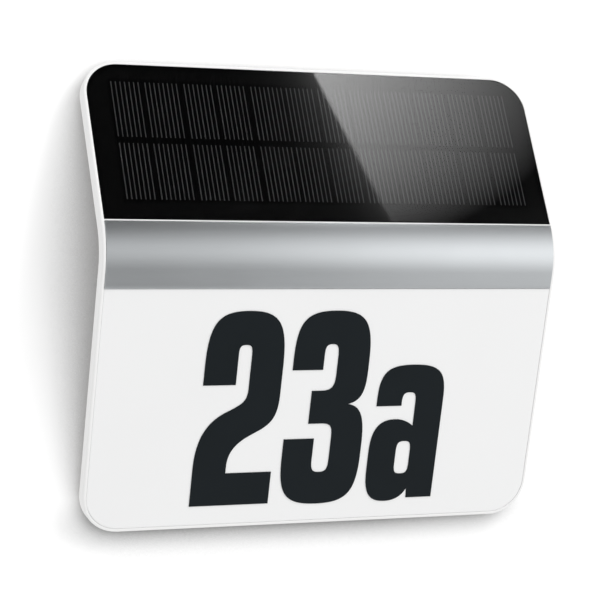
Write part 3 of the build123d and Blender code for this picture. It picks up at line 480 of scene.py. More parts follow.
@dataclass(frozen=True)
class Spangled(Finish):
    """Zinc-coated sheet steel: flat crystals of slightly different greys, dulled by handling."""

    colour: Colour
    crystal: float = 5 * MM
    swirl: float = 2 * MM

    def lay(self, paint: Paint) -> None:
        """Crystals with swirled edges have each a grey and a gloss, and noise dulls them."""
        place = paint.place()
        pull = paint.noise(place, size=MM / 0.3, out="Color")
        bent = paint.vectors("MULTIPLY_ADD", pull, (self.swirl, self.swirl, self.swirl), place)
        crystal = paint.parts(paint.crystals(bent, self.crystal, out="Color"))[0]
        dull = paint.noise(place, size=9 * MM, detail=4, roughness=0.6)
        paint.surface(
            Base_Color=paint.tint(self.colour, 0.86, 1.08, crystal),
            Metallic=1.0,
            Roughness=0.34 + 0.14 * crystal + 0.12 * dull,
            Normal=paint.bump(dull, depth=0.02 * MM, strength=0.4),
        )


@dataclass(frozen=True)
class SolarGlass(Finish):
    """Low-iron cover glass with the faintest film of dust."""

    colour: Colour = (0.95, 0.97, 0.96)
    polish: float = 0.012
    dust: float = 0.02

    def lay(self, paint: Paint) -> None:
        """Clear glass whose gloss falls a little where dust has dried."""
        dried = paint.noise(paint.place(), size=18 * MM, detail=5, roughness=0.65).step(0.45, 0.8)
        gloss = self.polish + self.dust * dried
        paint.surface(Base_Color=self.colour, Roughness=gloss, IOR=1.5, Transmission_Weight=1.0)


@dataclass(frozen=True)
class SiliconCells(Finish):
    """Black silicon cells with silver fingers that run up each cell.

    The cells are bonded to the glass, so they have no gloss of their own. Their UV map counts
    fingers from each cell's first, so a finger stands at every whole number.
    """

    silicon: Colour = (0.0009, 0.0009, 0.0013)
    silver: Colour = (0.088, 0.088, 0.089)
    solid_to: float = 0.186 * MM
    gone_at: float = 0.3844 * MM

    def lay(self, paint: Paint) -> None:
        """A finger is solid near a whole number of the count and fades out beside it."""
        count = paint.parts(paint.node("ShaderNodeUVMap", {"uv_map": FINGER_PLAN}))[0]
        off = (count + 0.5).off_middle() * FINGER_PITCH
        line = 1 - off.step(self.solid_to, self.gone_at)
        weave = paint.noise(paint.stretched((1.0, 0.08, 0.08)), size=0.5 * MM)
        tone = paint.noise(paint.place(), size=30 * MM, detail=1)
        body = paint.tint(self.silicon, 1.0, 2.2, 0.6 * tone + 0.4 * weave)
        paint.surface(
            Base_Color=paint.mix(body, self.silver, line * (0.8 + 0.2 * weave)),
            Roughness=0.6 + 0.1 * weave,
            Specular_IOR_Level=0.0,
            Normal=paint.bump(line, depth=0.01 * MM, strength=0.4),
        )


@dataclass(frozen=True)
class Filled(Finish):
    """Black filler bonded to the glass: a shade darker between the cells than at the edges."""

    edge: Colour = (0.0042, 0.0042, 0.0044)
    between: Colour = (0.0012, 0.0012, 0.0014)
    swirl: Colour = (0.01, 0.01, 0.01)
    centre_x: float = 1.25 * MM
    centre_run: float = 57.1 * MM

    def lay(self, paint: Paint) -> None:
        """The field of the cells is found from X and from the run up the slope."""
        place = paint.place()
        across = abs(paint.parts(place)[0] - self.centre_x)
        along = abs(paint.reach(SLOPE.fold_line, SLOPE.up) - self.centre_run)
        inside = (1 - across.step(107.4 * MM, 110.0 * MM)) * (1 - along.step(32.0 * MM, 34.4 * MM))
        flow = paint.noise(place, size=4 * MM, detail=4, roughness=0.6)
        base = paint.mix(self.edge, self.between, inside)
        paint.surface(
            Base_Color=paint.mix(base, paint.mix(base, self.swirl, 0.12), flow),
            Roughness=0.6 + 0.1 * flow,
            Specular_IOR_Level=0.0,
            Normal=paint.bump(flow, depth=0.01 * MM, strength=0.5),
        )


@dataclass(frozen=True)
class Clear(Finish):
    """Clear acrylic or tape, with tint and gloss of its own."""

    colour: Colour
    roughness: float
    transmission: float = 1.0

    def lay(self, paint: Paint) -> None:
        """Fine scratches dull the clear surface a little."""
        scratch = paint.noise(paint.stretched((1.0, 1.0, 0.1)), size=0.6 * MM, detail=3, roughness=0.7)
        paint.surface(
            Base_Color=self.colour,
            Roughness=self.roughness + 0.08 * scratch,
            Transmission_Weight=self.transmission,
            IOR=1.49,
        )


@dataclass(frozen=True)
class Foam(Finish):
    """Closed-cell foam tape: small open cells at its cut edges."""

    colour: Colour
    cell: float = 0.35 * MM

    def lay(self, paint: Paint) -> None:
        """Cells are dark in their middles and stand out at their walls."""
        hollow = paint.crystals(paint.place(), self.cell)
        paint.surface(
            Base_Color=paint.tint(self.colour, 0.55, 1.0, hollow.step(0.1, 0.5)),
            Roughness=0.85 + 0.1 * hollow,
            Normal=paint.bump(hollow, depth=0.08 * MM, strength=0.8),
        )


@dataclass(frozen=True)
class Board(Finish):
    """Circuit board: lacquer over straight copper tracks, with tinned pads."""

    lacquer: Colour
    track: Colour
    tin: Colour = (0.62, 0.62, 0.6)
    pitch: float = 2.54 * MM
    track_length: float = 11 * MM

    def lay(self, paint: Paint) -> None:
        """Tracks follow a square raster that chance switches on and off; pads are its round spots."""
        x, _, z = paint.parts(paint.place())
        row, column = z / self.pitch, x / self.pitch
        pick = paint.chance(row.floor() * 17.0 + (x / self.track_length).floor())
        track = (row.off_middle() < 0.12) * (pick > 0.45)
        spot = ((row.fraction() - 0.5) ** 2.0 + (column.fraction() - 0.5) ** 2.0) < 0.045
        pad = spot * (paint.chance(row.floor() * 31.0 + column.floor()) > 0.8)
        weave = paint.noise(paint.place(), size=0.8 * MM)
        printed = paint.mix(paint.tint(self.lacquer, 1.0, 1.25, weave), self.track, track)
        paint.surface(
            Base_Color=paint.mix(printed, self.tin, pad),
            Metallic=0.9 * pad,
            Roughness=0.32 + 0.1 * weave,
            Normal=paint.bump(track + pad, depth=0.03 * MM, strength=0.6),
        )


@dataclass(frozen=True)
class Wound(Finish):
    """Wound coil under a dark ferrite skin, seen as fine turns."""

    ferrite: Colour
    turn: float = 0.45 * MM

    def lay(self, paint: Paint) -> None:
        """Turns repeat along the coil's axis and lift the normal, under a grain of ferrite."""
        turn = (paint.parts(paint.place())[1] / self.turn).off_middle()
        grain = paint.noise(paint.place(), size=0.5 * MM, detail=3)
        paint.surface(
            Base_Color=paint.tint(self.ferrite, 1.0, 1.7, grain),
            Roughness=0.55 + 0.2 * grain,
            Metallic=0.15,
            Normal=paint.bump(turn, depth=0.05 * MM, strength=0.4),
        )


@dataclass(frozen=True)
class Sleeve(Finish):
    """Printed shrink sleeve of the battery, or of the capacitor: one band of a second colour."""

    colour: Colour
    band: Colour
    band_from: float
    band_to: float

    def lay(self, paint: Paint) -> None:
        """The second colour lies between two places along X, and the sleeve is a little wrinkled."""
        x = paint.parts(paint.place())[0]
        wrinkle = paint.noise(paint.stretched((0.3, 1.0, 1.0)), size=2 * MM, detail=3)
        inside = (x > self.band_from) * (x < self.band_to)
        paint.surface(
            Base_Color=paint.mix(paint.tint(self.colour, 1.0, 1.3, wrinkle), self.band, inside),
            Roughness=0.3 + 0.15 * wrinkle,
            Normal=paint.bump(wrinkle, depth=0.05 * MM, strength=0.5),
        )


@dataclass(frozen=True)
class Lead(Finish):
    """Insulation of the thin leads: one colour to the left of a place along X, another to its right."""

    first: Colour
    second: Colour
    split: float
    scuff: Colour = (0.5, 0.5, 0.5)

    def lay(self, paint: Paint) -> None:
        """The two colours part at a place along X; the skin is slightly drawn."""
        x = paint.parts(paint.place())[0]
        skin = paint.noise(paint.place(), size=1.2 * MM, detail=3)
        base = paint.mix(self.first, self.second, x > self.split)
        paint.surface(
            Base_Color=paint.mix(base, paint.mix(base, self.scuff, 0.12), skin),
            Roughness=0.42 + 0.12 * skin,
            Normal=paint.bump(skin, depth=0.02 * MM, strength=0.5),
        )


@dataclass(frozen=True)
class Woven(Finish):
    """Vent membrane: a pale, very fine expanded weave."""

    colour: Colour
    thread: float = 0.25 * MM

    def lay(self, paint: Paint) -> None:
        """Two crossing waves over X and Z make the threads."""
        x, _, z = paint.parts(paint.place())
        knot = (x / self.thread).off_middle() + (z / self.thread).off_middle()
        paint.surface(
            Base_Color=paint.tint(self.colour, 0.8, 1.0, knot),
            Roughness=0.8 + 0.1 * knot,
            Normal=paint.bump(knot, depth=0.04 * MM, strength=0.7),
        )


@dataclass(frozen=True)
class LampBody(Finish):
    """White lamp body with a yellow phosphor window on its lower face."""

    body: Colour = (0.82, 0.82, 0.78)
    phosphor: Colour = (0.75, 0.6, 0.12)
    window_run: float = 20.52 * MM

    def lay(self, paint: Paint) -> None:
        """The window starts at a run down the slope; noise gives the body its grain."""
        grain = paint.noise(paint.place(), size=0.2 * MM)
        window = paint.reach(SLOPE.fold_line, SLOPE.down) > self.window_run
        paint.surface(
            Base_Color=paint.mix(paint.tint(self.body, 0.9, 1.0, grain), self.phosphor, window),
            Roughness=0.35 + 0.2 * grain,
            Normal=paint.bump(grain, depth=0.02 * MM, strength=0.4),
        )


FINISHES: dict[str, Finish] = {
    "white_moulding": Moulded((0.89, 0.89, 0.884), 0.43),
    "grey_moulding": Moulded((0.45, 0.455, 0.46), 0.53, (0.97, 1.03)),
    "solar_glass": SolarGlass(),
    "solar_silicon": SiliconCells(),
    "solar_filler": Filled(),
    "solar_backing": Film((0.62, 0.62, 0.6), 0.475, skin=Grain(2 * MM, 3)),
    "foam_tape": Foam((0.03, 0.03, 0.032)),
    "brushed_bar": Brushed((0.602, 0.624, 0.64), Axis.X),
    "clear_tape": Clear((0.85, 0.86, 0.84), roughness=0.25, transmission=0.6),
    "opal_panel": Opal((0.88, 0.882, 0.882)),
    "clear_guide": Clear((0.94, 0.96, 0.95), roughness=0.06),
    "reflector_film": Film((0.88, 0.88, 0.88), 0.375, skin=Grain(3 * MM, 3)),
    "lamp_board": Board((0.7, 0.7, 0.68), (0.6, 0.6, 0.58)),
    "lamp_body": LampBody(),
    "numeral_film": Film((0.0074, 0.011, 0.0135), 0.505, specular=0.12),
    "circuit_board": Board((0.012, 0.085, 0.03), (0.03, 0.15, 0.06)),
    "chip_epoxy": Moulded((0.02, 0.02, 0.021), 0.63, (0.9, 1.1), skin=Grain(0.12 * MM, 2, 0.6)),
    "coil_ferrite": Wound((0.03, 0.03, 0.032)),
    "capacitor_can": Sleeve((0.02, 0.025, 0.06), (0.5, 0.52, 0.55), band_from=40 * MM, band_to=41.2 * MM),
    "socket_nylon": Moulded((0.75, 0.73, 0.66), 0.53, (0.97, 1.03), skin=Grain(0.2 * MM, 2, 0.6)),
    "screw_steel": Brushed((0.5, 0.5, 0.49), Axis.Y, roughness=0.3, hair=0.3 * MM),
    "switch_black": Moulded((0.018, 0.018, 0.019), 0.53, (0.92, 1.08), skin=Grain(0.2 * MM, 2, 0.6)),
    "knob_black": Moulded((0.014, 0.014, 0.015), 0.43, (0.92, 1.08), skin=Grain(0.25 * MM, 2, 0.6)),
    "cell_sleeve": Sleeve((0.02, 0.12, 0.06), (0.6, 0.6, 0.58), band_from=12 * MM, band_to=40 * MM),
    "nickel_strip": Brushed((0.6, 0.57, 0.5), Axis.X, roughness=0.28, hair=0.2 * MM),
    "seal_silicone": Elastomer((0.25, 0.25, 0.26), 0.6),
    "lead_sleeve": Lead((0.35, 0.012, 0.01), (0.01, 0.01, 0.011), split=0.0),
    "vent_film": Woven((0.8, 0.8, 0.78)),
    "bumper_rubber": Elastomer((0.018, 0.018, 0.019)),
    "zinc_steel": Spangled((0.62, 0.63, 0.64)),
}


@cache
def finish(slot: str) -> bpy.types.Material:
    """The material of a slot, made when first asked for."""
    return FINISHES[slot].material(f"finish_{slot}")


# ---- surfaces
def bands(rings: int, around: int, closed: bool = False) -> list[list[int]]:
    """Quads between the rings of a stack whose points are numbered ring by ring.

    Quad j of band i joins points j and j + 1 of rings i and i + 1, the last point to the first.

    Args:
        rings: how many rings there are.
        around: points on each ring.
        closed: whether a last band joins the last ring to the first.

    Returns:
        Each quad's points.
    """
    i, j = np.meshgrid(np.arange(rings if closed else rings - 1), np.arange(around), indexing="ij")
    here, beyond, after = i * around, (i + 1) % rings * around, (j + 1) % around
    return np.stack([here + j, here + after, beyond + after, beyond + j], -1).reshape(-1, 4).tolist()


def skin(name: str, rings: Sequence[Points]) -> Piece:
    """Closed surface through a stack of rings of points, with flat caps on the first and the last."""
    around, count = len(rings[0]), sum(map(len, rings))
    caps = [list(range(around))[::-1], list(range(count - around, count))]
    return solid(name, np.concatenate(rings), bands(len(rings), around) + caps)


def solid(name: str, points: Points, faces: Sequence[Sequence[int]]) -> Piece:
    """Mesh object from points and faces, smooth but for its sharp edges.

    Args:
        name: the piece's name.
        points: points by axis, in metres.
        faces: each face's points.

    Returns:
        The piece, with its faces pointing outwards.
    """
    mesh = bpy.data.meshes.new(name)
    mesh.from_pydata(points.tolist(), [], faces)
    if signed_volume(mesh) < 0:
        mesh.flip_normals()
    mesh.shade_smooth()
    mesh.set_sharp_from_angle(angle=SHARP)
    mesh.validate()
    return linked(name, mesh)


def linked(name: str, data: bpy.types.ID) -> Piece:
    """A new object of the scene with this mesh, lamp or camera."""
    made = bpy.data.objects.new(name, data)
    bpy.context.scene.collection.objects.link(made)
    return made


def signed_volume(mesh: bpy.types.Mesh) -> float:
    """Volume inside a closed mesh, below zero where its faces point inwards.

    The sum over triangles of the box product of their corners, over six.

    Args:
        mesh: the mesh.

    Returns:
        The volume.
    """
    mesh.calc_loop_triangles()
    corners = np.empty(len(mesh.loop_triangles) * 3, np.int32)
    mesh.loop_triangles.foreach_get("vertices", corners)
    place = np.empty(len(mesh.vertices) * 3)
    mesh.vertices.foreach_get("co", place)
    a, b, c = place.reshape(-1, 3)[corners.reshape(-1, 3)].transpose(1, 0, 2)
    return float(np.einsum("ij,ij->", a, np.cross(b, c)) / 6)


@dataclass(frozen=True)
class SheetPlan:
    """Plan of a sheet on a slope: square corners at its near edge, round ones at its far edge."""

    half_width: float
    near: float
    far: float
    corner: float
    shift: float = 0.0
    steps: int = 24

    def outline(self, inset: float) -> Points:
        """The outline drawn in.

        Each round corner is centre + (corner - inset) * (cos, sin) of an angle over a quarter turn.

        Args:
            inset: how far it is drawn in.

        Returns:
            Points of across and run, going once round.
        """
        angle = np.linspace(0, np.pi / 2, self.steps)
        across = (self.half_width - self.corner) + (self.corner - inset) * np.cos(angle)
        run = self.far - self.corner + (self.corner - inset) * np.sin(angle)
        right = [self.half_width - inset, self.near + inset]
        left = [-(self.half_width - inset), self.near + inset]
        there, back = np.stack([across, run], -1), np.stack([-across[::-1], run[::-1]], -1)
        return np.concatenate([[right], there, back, [left]]) + np.array([self.shift, 0.0])

    def rings(self, to_slope: ToSlope, stack: Iterable[tuple[float, float]]) -> list[Points]:
        """Rings of the outline on a slope, one for each inset and depth."""
        plans = [(self.outline(float(inset)), depth) for inset, depth in stack]
        return [np.stack([plan[:, 0], *to_slope(plan[:, 1], depth)], -1) for plan, depth in plans]

    def sheet(self, name: str, to_slope: ToSlope, front: float, back: float, edge: float) -> Piece:
        """Sheet from a front to a back depth whose front edge is a quarter round of a radius."""
        # As t turns a quarter, the edge's rings draw in by edge * (1 - cos t) and rise by
        # edge * sin t. One more ring on each flat face keeps that face's shading flat.
        rounded = [(edge * (1 - np.cos(t)), front + edge * (1 - np.sin(t))) for t in QUARTER]
        return skin(name, self.rings(to_slope, [(4 * edge, back), (0.0, back), *rounded, (4 * edge, front)]))


def along_x(name: str, sections: Iterable[Points], stations: Iterable[float]) -> Piece:
    """Bar whose rings are sections of y and z, each at its station along X."""
    return skin(name, [np.insert(section, 0, x, axis=1) for section, x in zip(sections, stations)])


def raised(name: str, x: float, z: float, layers: Iterable[tuple[float, Points]]) -> Piece:
    """Mark on the tub's back, centred at x and z, from layers of a lift and an outline."""
    rings = [np.insert(plan + np.array([x, z]), 1, TUB_BACK + lift, axis=1) for lift, plan in layers]
    return skin(name, rings)


# ---- sub-assemblies
@dataclass
class Assembly:
    """A group of frame nodes that it dresses and of new pieces that ride on one body."""

    nodes: dict[str, Piece]
    body: str = "lamp"
    members: tuple[str, ...] = ()
    pieces: list[Piece] = field(default_factory=list)

    def build(self) -> None:
        """Make the new pieces; a plain group has none."""

    def add(self, piece: Piece, slot: str, *stands_for: str) -> None:
        """Dress a new piece and let it ride on the body.

        Args:
            piece: the new piece.
            slot: the record's slot that it takes its finish from.
            *stands_for: frame nodes that it replaces.
        """
        piece.data.materials.append(finish(slot))
        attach(piece, self.body)
        if stands_for:
            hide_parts(*stands_for)
        self.pieces.append(piece)

    def dress(self) -> None:
        """Lay on each frame node the finishes of its own slots."""
        for name in self.members:
            for place in self.nodes[name].material_slots:
                place.material = finish(place.material.name.split(".")[0])

    def report(self) -> None:
        """Log each piece and node of the group."""
        for piece in self.pieces:
            log.info("%s: new piece on %s, %d faces", piece.name, self.body, len(piece.data.polygons))
        for name in self.members:
            log.info("%s: frame node on %s, dressed", name, self.body)


@dataclass
class SolarHalf(Assembly):
    """Cover glass, cells and what lies behind them; the first fingers' places are in millimetres."""

    members: tuple[str, ...] = ("solar_backing", "solar_foam_tape", "solar_lead")
    glass: SheetPlan = SheetPlan(half_width=119.26 * MM, near=14.4 * MM, far=97.46 * MM, corner=17.26 * MM)
    front: float = 0.2 * MM
    back: float = 2.86 * MM
    edge: float = 0.05 * MM
    cell_depths: tuple[float, float] = (2.7 * MM, 2.85 * MM)
    cell_rows: Pairs = ((25.4 * MM, 55.3 * MM), (58.75 * MM, 88.75 * MM))
    cell_margin: float = 1.05 * MM
    first_fingers: tuple[float, ...] = (
        -105.7, -88.3, -68.1, -50.75, -32.85, -13.9, 3.45, 21.0, 40.0, 57.0, 76.85, 94.45,
    )
    finger_counts: tuple[int, ...] = (7, 8, 7, 7, 8, 7, 7, 8, 7, 8, 7, 7)
    plan_unit: float = 10 * MM
    filler_back: float = 3.0 * MM
    filler_floor: float = 2.855 * MM
    filler_rim: float = 0.24 * MM
    filler_inset: float = 0.01 * MM
    border: float = 0.15 * MM
    seal_from: float = 13.96 * MM
    seal_to: float = 14.45 * MM
    seal_height: float = 0.05 * MM
    seal_corner: float = 0.03 * MM
    seal_lap: float = 0.005 * MM
    seal_foot: float = 0.25 * MM
    rib_end: float = 14.33 * MM

    def cells(self) -> Piece:
        """All the cells as thin blocks in one mesh, with a UV map that counts their fingers.

        A corner of a cell is its left or right side, its lower or upper run and its front or back
        depth. The sides lie a margin outside the first and the last finger. The map's u is the
        distance from the first finger over the pitch, and its v is the run in centimetres.

        Returns:
            The piece.
        """
        first = np.array(self.first_fingers) * MM
        last = first + (np.array(self.finger_counts) - 1) * FINGER_PITCH
        sides = np.stack([first - self.cell_margin, last + self.cell_margin], -1)
        corner = np.meshgrid(np.arange(len(first)), *([[0, 1]] * 4), indexing="ij")
        column, row, side, end, face = corner
        x, run = sides[column, side], np.array(self.cell_rows)[row, end]
        y, z = SLOPE.on_top(run, np.array(self.cell_depths)[face])
        block = [[0, 1, 3, 2], [4, 6, 7, 5], [0, 4, 5, 1], [2, 3, 7, 6], [0, 2, 6, 4], [1, 5, 7, 3]]
        faces = (8 * np.arange(column.size // 8)[:, None, None] + np.array(block)).reshape(-1, 4)
        made = solid("silicon_cells", np.stack([x, y, z], -1).reshape(-1, 3), faces.tolist())
        plan = np.stack([(x - first[column]) / FINGER_PITCH, run / self.plan_unit], -1).reshape(-1, 2)
        corners = np.empty(len(made.data.loops), np.int32)
        made.data.loops.foreach_get("vertex_index", corners)
        layer = made.data.uv_layers.new(name=FINGER_PLAN)
        layer.uv.foreach_set("vector", plan[corners].astype(np.float32).ravel())
        return made

    def tray(self) -> Piece:
        """The filler as a shallow tray: a floor behind the cells and a rim that blackens the glass's edge.

        Rings of the glass's outline, each drawn in by an inset, go from the back up the outer side,
        over the rim just under the glass's front and down the inner side to the floor.

        Returns:
            The piece.
        """
        outer, inner = self.filler_inset, self.filler_inset + self.border
        depths = (self.filler_back, self.filler_rim, self.filler_rim, self.filler_floor)
        stack = zip((outer, outer, inner, inner), depths)
        return skin("cell_filler", self.glass.rings(SLOPE.on_top, stack))

    def seal(self) -> Piece:
        """Bead of sealant along the glass's lower edge, which laps over the rib.

        Its section of run and depth lies on the rib as far as the rib goes and reaches down into
        the glass behind it; the section is carried along X.

        Returns:
            The piece.
        """
        start, end, top, corner = self.seal_from, self.seal_to, -self.seal_height, self.seal_corner
        outline = (
            (self.rib_end, -self.seal_lap), (start, -self.seal_lap),
            (start, top + corner), (start + corner, top), (end - corner, top), (end, top + corner),
            (end, self.seal_foot), (self.rib_end, self.seal_foot),
        )
        section = np.stack(SLOPE.on_top(*np.array(outline).T), -1)
        return along_x("glass_seal", [section] * 2, (-self.glass.half_width, self.glass.half_width))

    def build(self) -> None:
        """Glass, cells, filler and seal; the glass reaches into them, so that no air lies between."""
        glass = self.glass.sheet("cover_glass", SLOPE.on_top, self.front, self.back, self.edge)
        self.add(glass, "solar_glass", "solar_glass")
        self.add(self.cells(), "solar_silicon", "solar_cells")
        self.add(self.tray(), "solar_filler", "solar_encapsulant")
        self.add(self.seal(), "solar_filler")


@dataclass
class FoldBar(Assembly):
    """The curved aluminium bar over the fold, with its tape."""

    members: tuple[str, ...] = ("bar_tape",)
    half_width: float = 119.15 * MM
    down: float = 20.55 * MM
    proud: float = 0.4 * MM
    thickness: float = 1.6 * MM
    lip: float = 0.35 * MM
    lip_clearance: float = 0.05 * MM
    edge: float = 0.12 * MM
    fold_steps: int = 48

    def section(self, sink: float) -> Points:
        """The bar's closed section.

        The front starts with a small quarter round at the lip, follows the fold and the straight
        run and ends with another quarter round. The back follows the same lines, and the lip's
        underside stays just clear of the rib.

        Args:
            sink: how far the front lies below its full height.

        Returns:
            Points of y and z, going once round.
        """
        up, edge = SLOPE.tangent_run, self.edge
        front, back = sink - self.proud, self.thickness - self.proud
        drawn, sunk = edge * (1 - np.cos(QUARTER)), edge * (1 - np.sin(QUARTER))
        fold = np.linspace(0, 1, self.fold_steps)
        straight = np.linspace(up, self.down - edge, 6)[1:-1]
        sides = (
            SLOPE.on_top(up + self.lip - drawn, front + sunk),
            SLOPE.on_fold(fold, front),
            SLOPE.on_bottom(straight, front),
            SLOPE.on_bottom(self.down - sunk, front + drawn),
            SLOPE.on_bottom(np.array([self.down, up]), back),
            SLOPE.on_fold(fold[::-1][1:], back),
            SLOPE.on_top(np.array([up, up + self.lip]), -self.lip_clearance),
        )
        return np.concatenate([np.stack(side, -1) for side in sides])

    def build(self) -> None:
        """The section is carried along X; its front sinks by a quarter round at both ends."""
        across = self.half_width - self.edge * (1 - np.cos(QUARTER))
        sinks = self.edge * (1 - np.sin(QUARTER))
        sections = map(self.section, [*sinks, *sinks[::-1]])
        bar = along_x("brushed_bar_cover", sections, [*-across, *across[::-1]])
        self.add(bar, "brushed_bar", "accent_bar")


@dataclass
class NumberHalf(Assembly):
    """Opal panel, numerals, light guide and lamps."""

    members: tuple[str, ...] = (
        "panel_tape", "light_guide", "reflector_sheet", "led_board", "led_lamps", "numeral_2", "numeral_3",
        "letter_a", "led_lead",
    )
    panel: SheetPlan = SheetPlan(
        half_width=119.21 * MM, near=20.9 * MM, far=142.07 * MM, corner=17.27 * MM, shift=0.05 * MM
    )
    front: float = 0.2 * MM
    back: float = 2.6 * MM
    edge: float = 0.3 * MM

    def build(self) -> None:
        """The panel with a round front edge, which meets the frame in a shallow groove."""
        panel = self.panel.sheet("opal_front", SLOPE.on_bottom, self.front, self.back, self.edge)
        self.add(panel, "opal_panel", "number_panel")


@dataclass
class Housing(Assembly):
    """Frame, tub and what closes them."""

    members: tuple[str, ...] = (
        "front_frame", "rear_tub", "tub_gasket", "tub_screws", "vent_membrane", "rear_bumpers",
        "door_gasket",
    )
    switch_x: float = 27.0 * MM
    switch_z: float = -88.0 * MM
    mark_reach: float = 13.5 * MM
    mark_height: float = 0.25 * MM
    ring_radius: float = 1.5 * MM
    ring_half: float = 0.22 * MM
    stroke_reach: float = 1.7 * MM
    stroke_half: float = 0.3 * MM

    def build(self) -> None:
        """Raised off and on marks beside the switch, a ring and a stroke."""
        self.add(self.ring(), "grey_moulding")
        self.add(self.stroke(), "grey_moulding")

    def ring(self) -> Piece:
        """The off mark, a raised ring on the tub's back.

        A round profile is carried once round a circle: its points lie radius + half * cos v out
        from the centre and height * sin v off the tub's back.

        Returns:
            The piece.
        """
        turns, profile = 48, 16
        u = np.linspace(0, 2 * np.pi, turns, endpoint=False)[:, None]
        v = np.linspace(0, 2 * np.pi, profile, endpoint=False)[None, :]
        r = self.ring_radius + self.ring_half * np.cos(v)
        x = self.switch_x - self.mark_reach + r * np.cos(u)
        y = TUB_BACK + self.mark_height * np.sin(v) + 0 * u
        points = np.stack([x, y, self.switch_z + r * np.sin(u)], -1).reshape(-1, 3)
        return solid("mark_off", points, bands(turns, profile, closed=True))

    def stroke(self) -> Piece:
        """The on mark, a raised upright stroke on the tub's back.

        Each layer is two half circles of radius half * cos t, moved apart up and down, and lies
        height * sin t off the tub's back.

        Returns:
            The piece.
        """
        angle = np.linspace(0, 2 * np.pi, 32, endpoint=False)
        circle = np.stack([np.cos(angle), np.sin(angle)], -1)
        apart = np.sign(circle) * np.array([0.0, self.stroke_reach - self.stroke_half])
        half, turns = self.stroke_half, np.linspace(-0.4, np.pi / 2 * 0.95, 6)
        layers = [(self.mark_height * np.sin(t), half * np.cos(t) * circle + apart) for t in turns]
        return raised("mark_on", self.switch_x + self.mark_reach, self.switch_z, layers)


@dataclass
class Works(Assembly):
    """Board, switch body, battery and leads inside the tub."""

    members: tuple[str, ...] = (
        "main_board", "control_chip", "charge_coil", "storage_capacitor", "lead_sockets", "switch_body",
        "battery_cell", "battery_spring", "battery_contact", "battery_leads",
    )


@dataclass
class BatteryDoor(Assembly):
    """The sliding battery door with its raised arrow."""

    body: str = "battery_door"
    members: tuple[str, ...] = ("battery_door",)
    centre_x: float = 8.0 * MM
    centre_z: float = -45.0 * MM
    height: float = 0.3 * MM
    arrow: Pairs = (
        (-7, -1.1), (1, -1.1), (1, -3.6), (7, 0), (1, 3.6), (1, 1.1), (-7, 1.1),
    )
    middle: tuple[float, float] = (0.8, 0.0)
    rise: Pairs = ((-0.1, 1.0), (0.7, 0.985), (0.93, 0.96), (1.0, 0.93))

    def build(self) -> None:
        """An arrow that points the way the door slides: its outline shrinks as it rises."""
        outline, middle = np.array(self.arrow) * MM, np.array(self.middle) * MM
        layers = [(self.height * lift, middle + (outline - middle) * share) for lift, share in self.rise]
        self.add(raised("door_arrow", self.centre_x, self.centre_z, layers), "grey_moulding")


@dataclass
class SwitchKnob(Assembly):
    """The mode switch's knob."""

    body: str = "switch_knob"
    members: tuple[str, ...] = ("switch_knob",)


@dataclass
class Bracket(Assembly):
    """The steel wall bracket."""

    body: str = "bracket"
    members: tuple[str, ...] = ("wall_bracket",)


# ---- studio
@dataclass(frozen=True)
class WallPaint(Finish):
    """White wall that the sign shades, with more shade painted into its colour and glow from ambient
    occlusion; seen by the camera alone and only from its front.
    """

    white: Colour = (0.92, 0.92, 0.92)
    # colour of the painted shadow, mixed in where little of the view near the sign is open
    painted_shadow: Colour = (0.2, 0.19, 0.185)
    wide_reach: float = 0.14
    near_reach: float = 0.045
    # strength of the wall's own painted glow: a floor in the shade, and more where the view is open
    glow_floor: float = 0.02
    glow_rise: float = 0.26
    power: float = 1.8
    power_drop: float = 0.4
    # strength of the painted fringe of shade around the painted contact shadow
    fringe: float = 0.08

    def lay(self, paint: Paint) -> None:
        """The open share within a wide reach gives the tone, which paints shade into the wall's colour and
        glow near the sign.

        Below the sign's lower edge, the open share within a near reach paints a contact shadow that darkens
        the wall once more:
        it is raised to a power that drops to the right, and a faint painted fringe of shade surrounds it.

        Args:
            paint: the node tree's helper.
        """
        # painted shade: the tone darkens the wall's colour and glow where the sign closes in the view
        tone = paint.open_share(self.wide_reach).step(0.05, 0.9)
        near = paint.open_share(self.near_reach)
        x, _, z = paint.parts(paint.place())
        below = 1 - z.step(-0.172, -0.15)
        power = (self.power - self.power_drop * x.step(0.03, 0.1)) * below
        # painted contact shadow under the sign's lower edge, with a faint painted fringe of shade
        contact = near ** power * (1 - self.fringe * below * near.step(0.7, 0.88))
        colour = paint.mix(shade(WHITE, 0.0), paint.mix(self.painted_shadow, self.white, tone), contact)
        diffuse = paint.node("ShaderNodeBsdfDiffuse", None, {"Color": colour})
        # painted light: the wall glows by itself, less where the painted shade falls
        glow = paint.glow((self.glow_floor + self.glow_rise * tone) * contact)
        lit = paint.node("ShaderNodeAddShader", None, {0: diffuse, 1: glow})
        clear = paint.node("ShaderNodeBsdfTransparent")
        behind = paint.node("ShaderNodeNewGeometry", out="Backfacing")
        seen = paint.ray(Ray.CAMERA) * (1 - behind)
        paint.show(paint.node("ShaderNodeMixShader", None, {0: seen, 1: clear, 2: lit}))


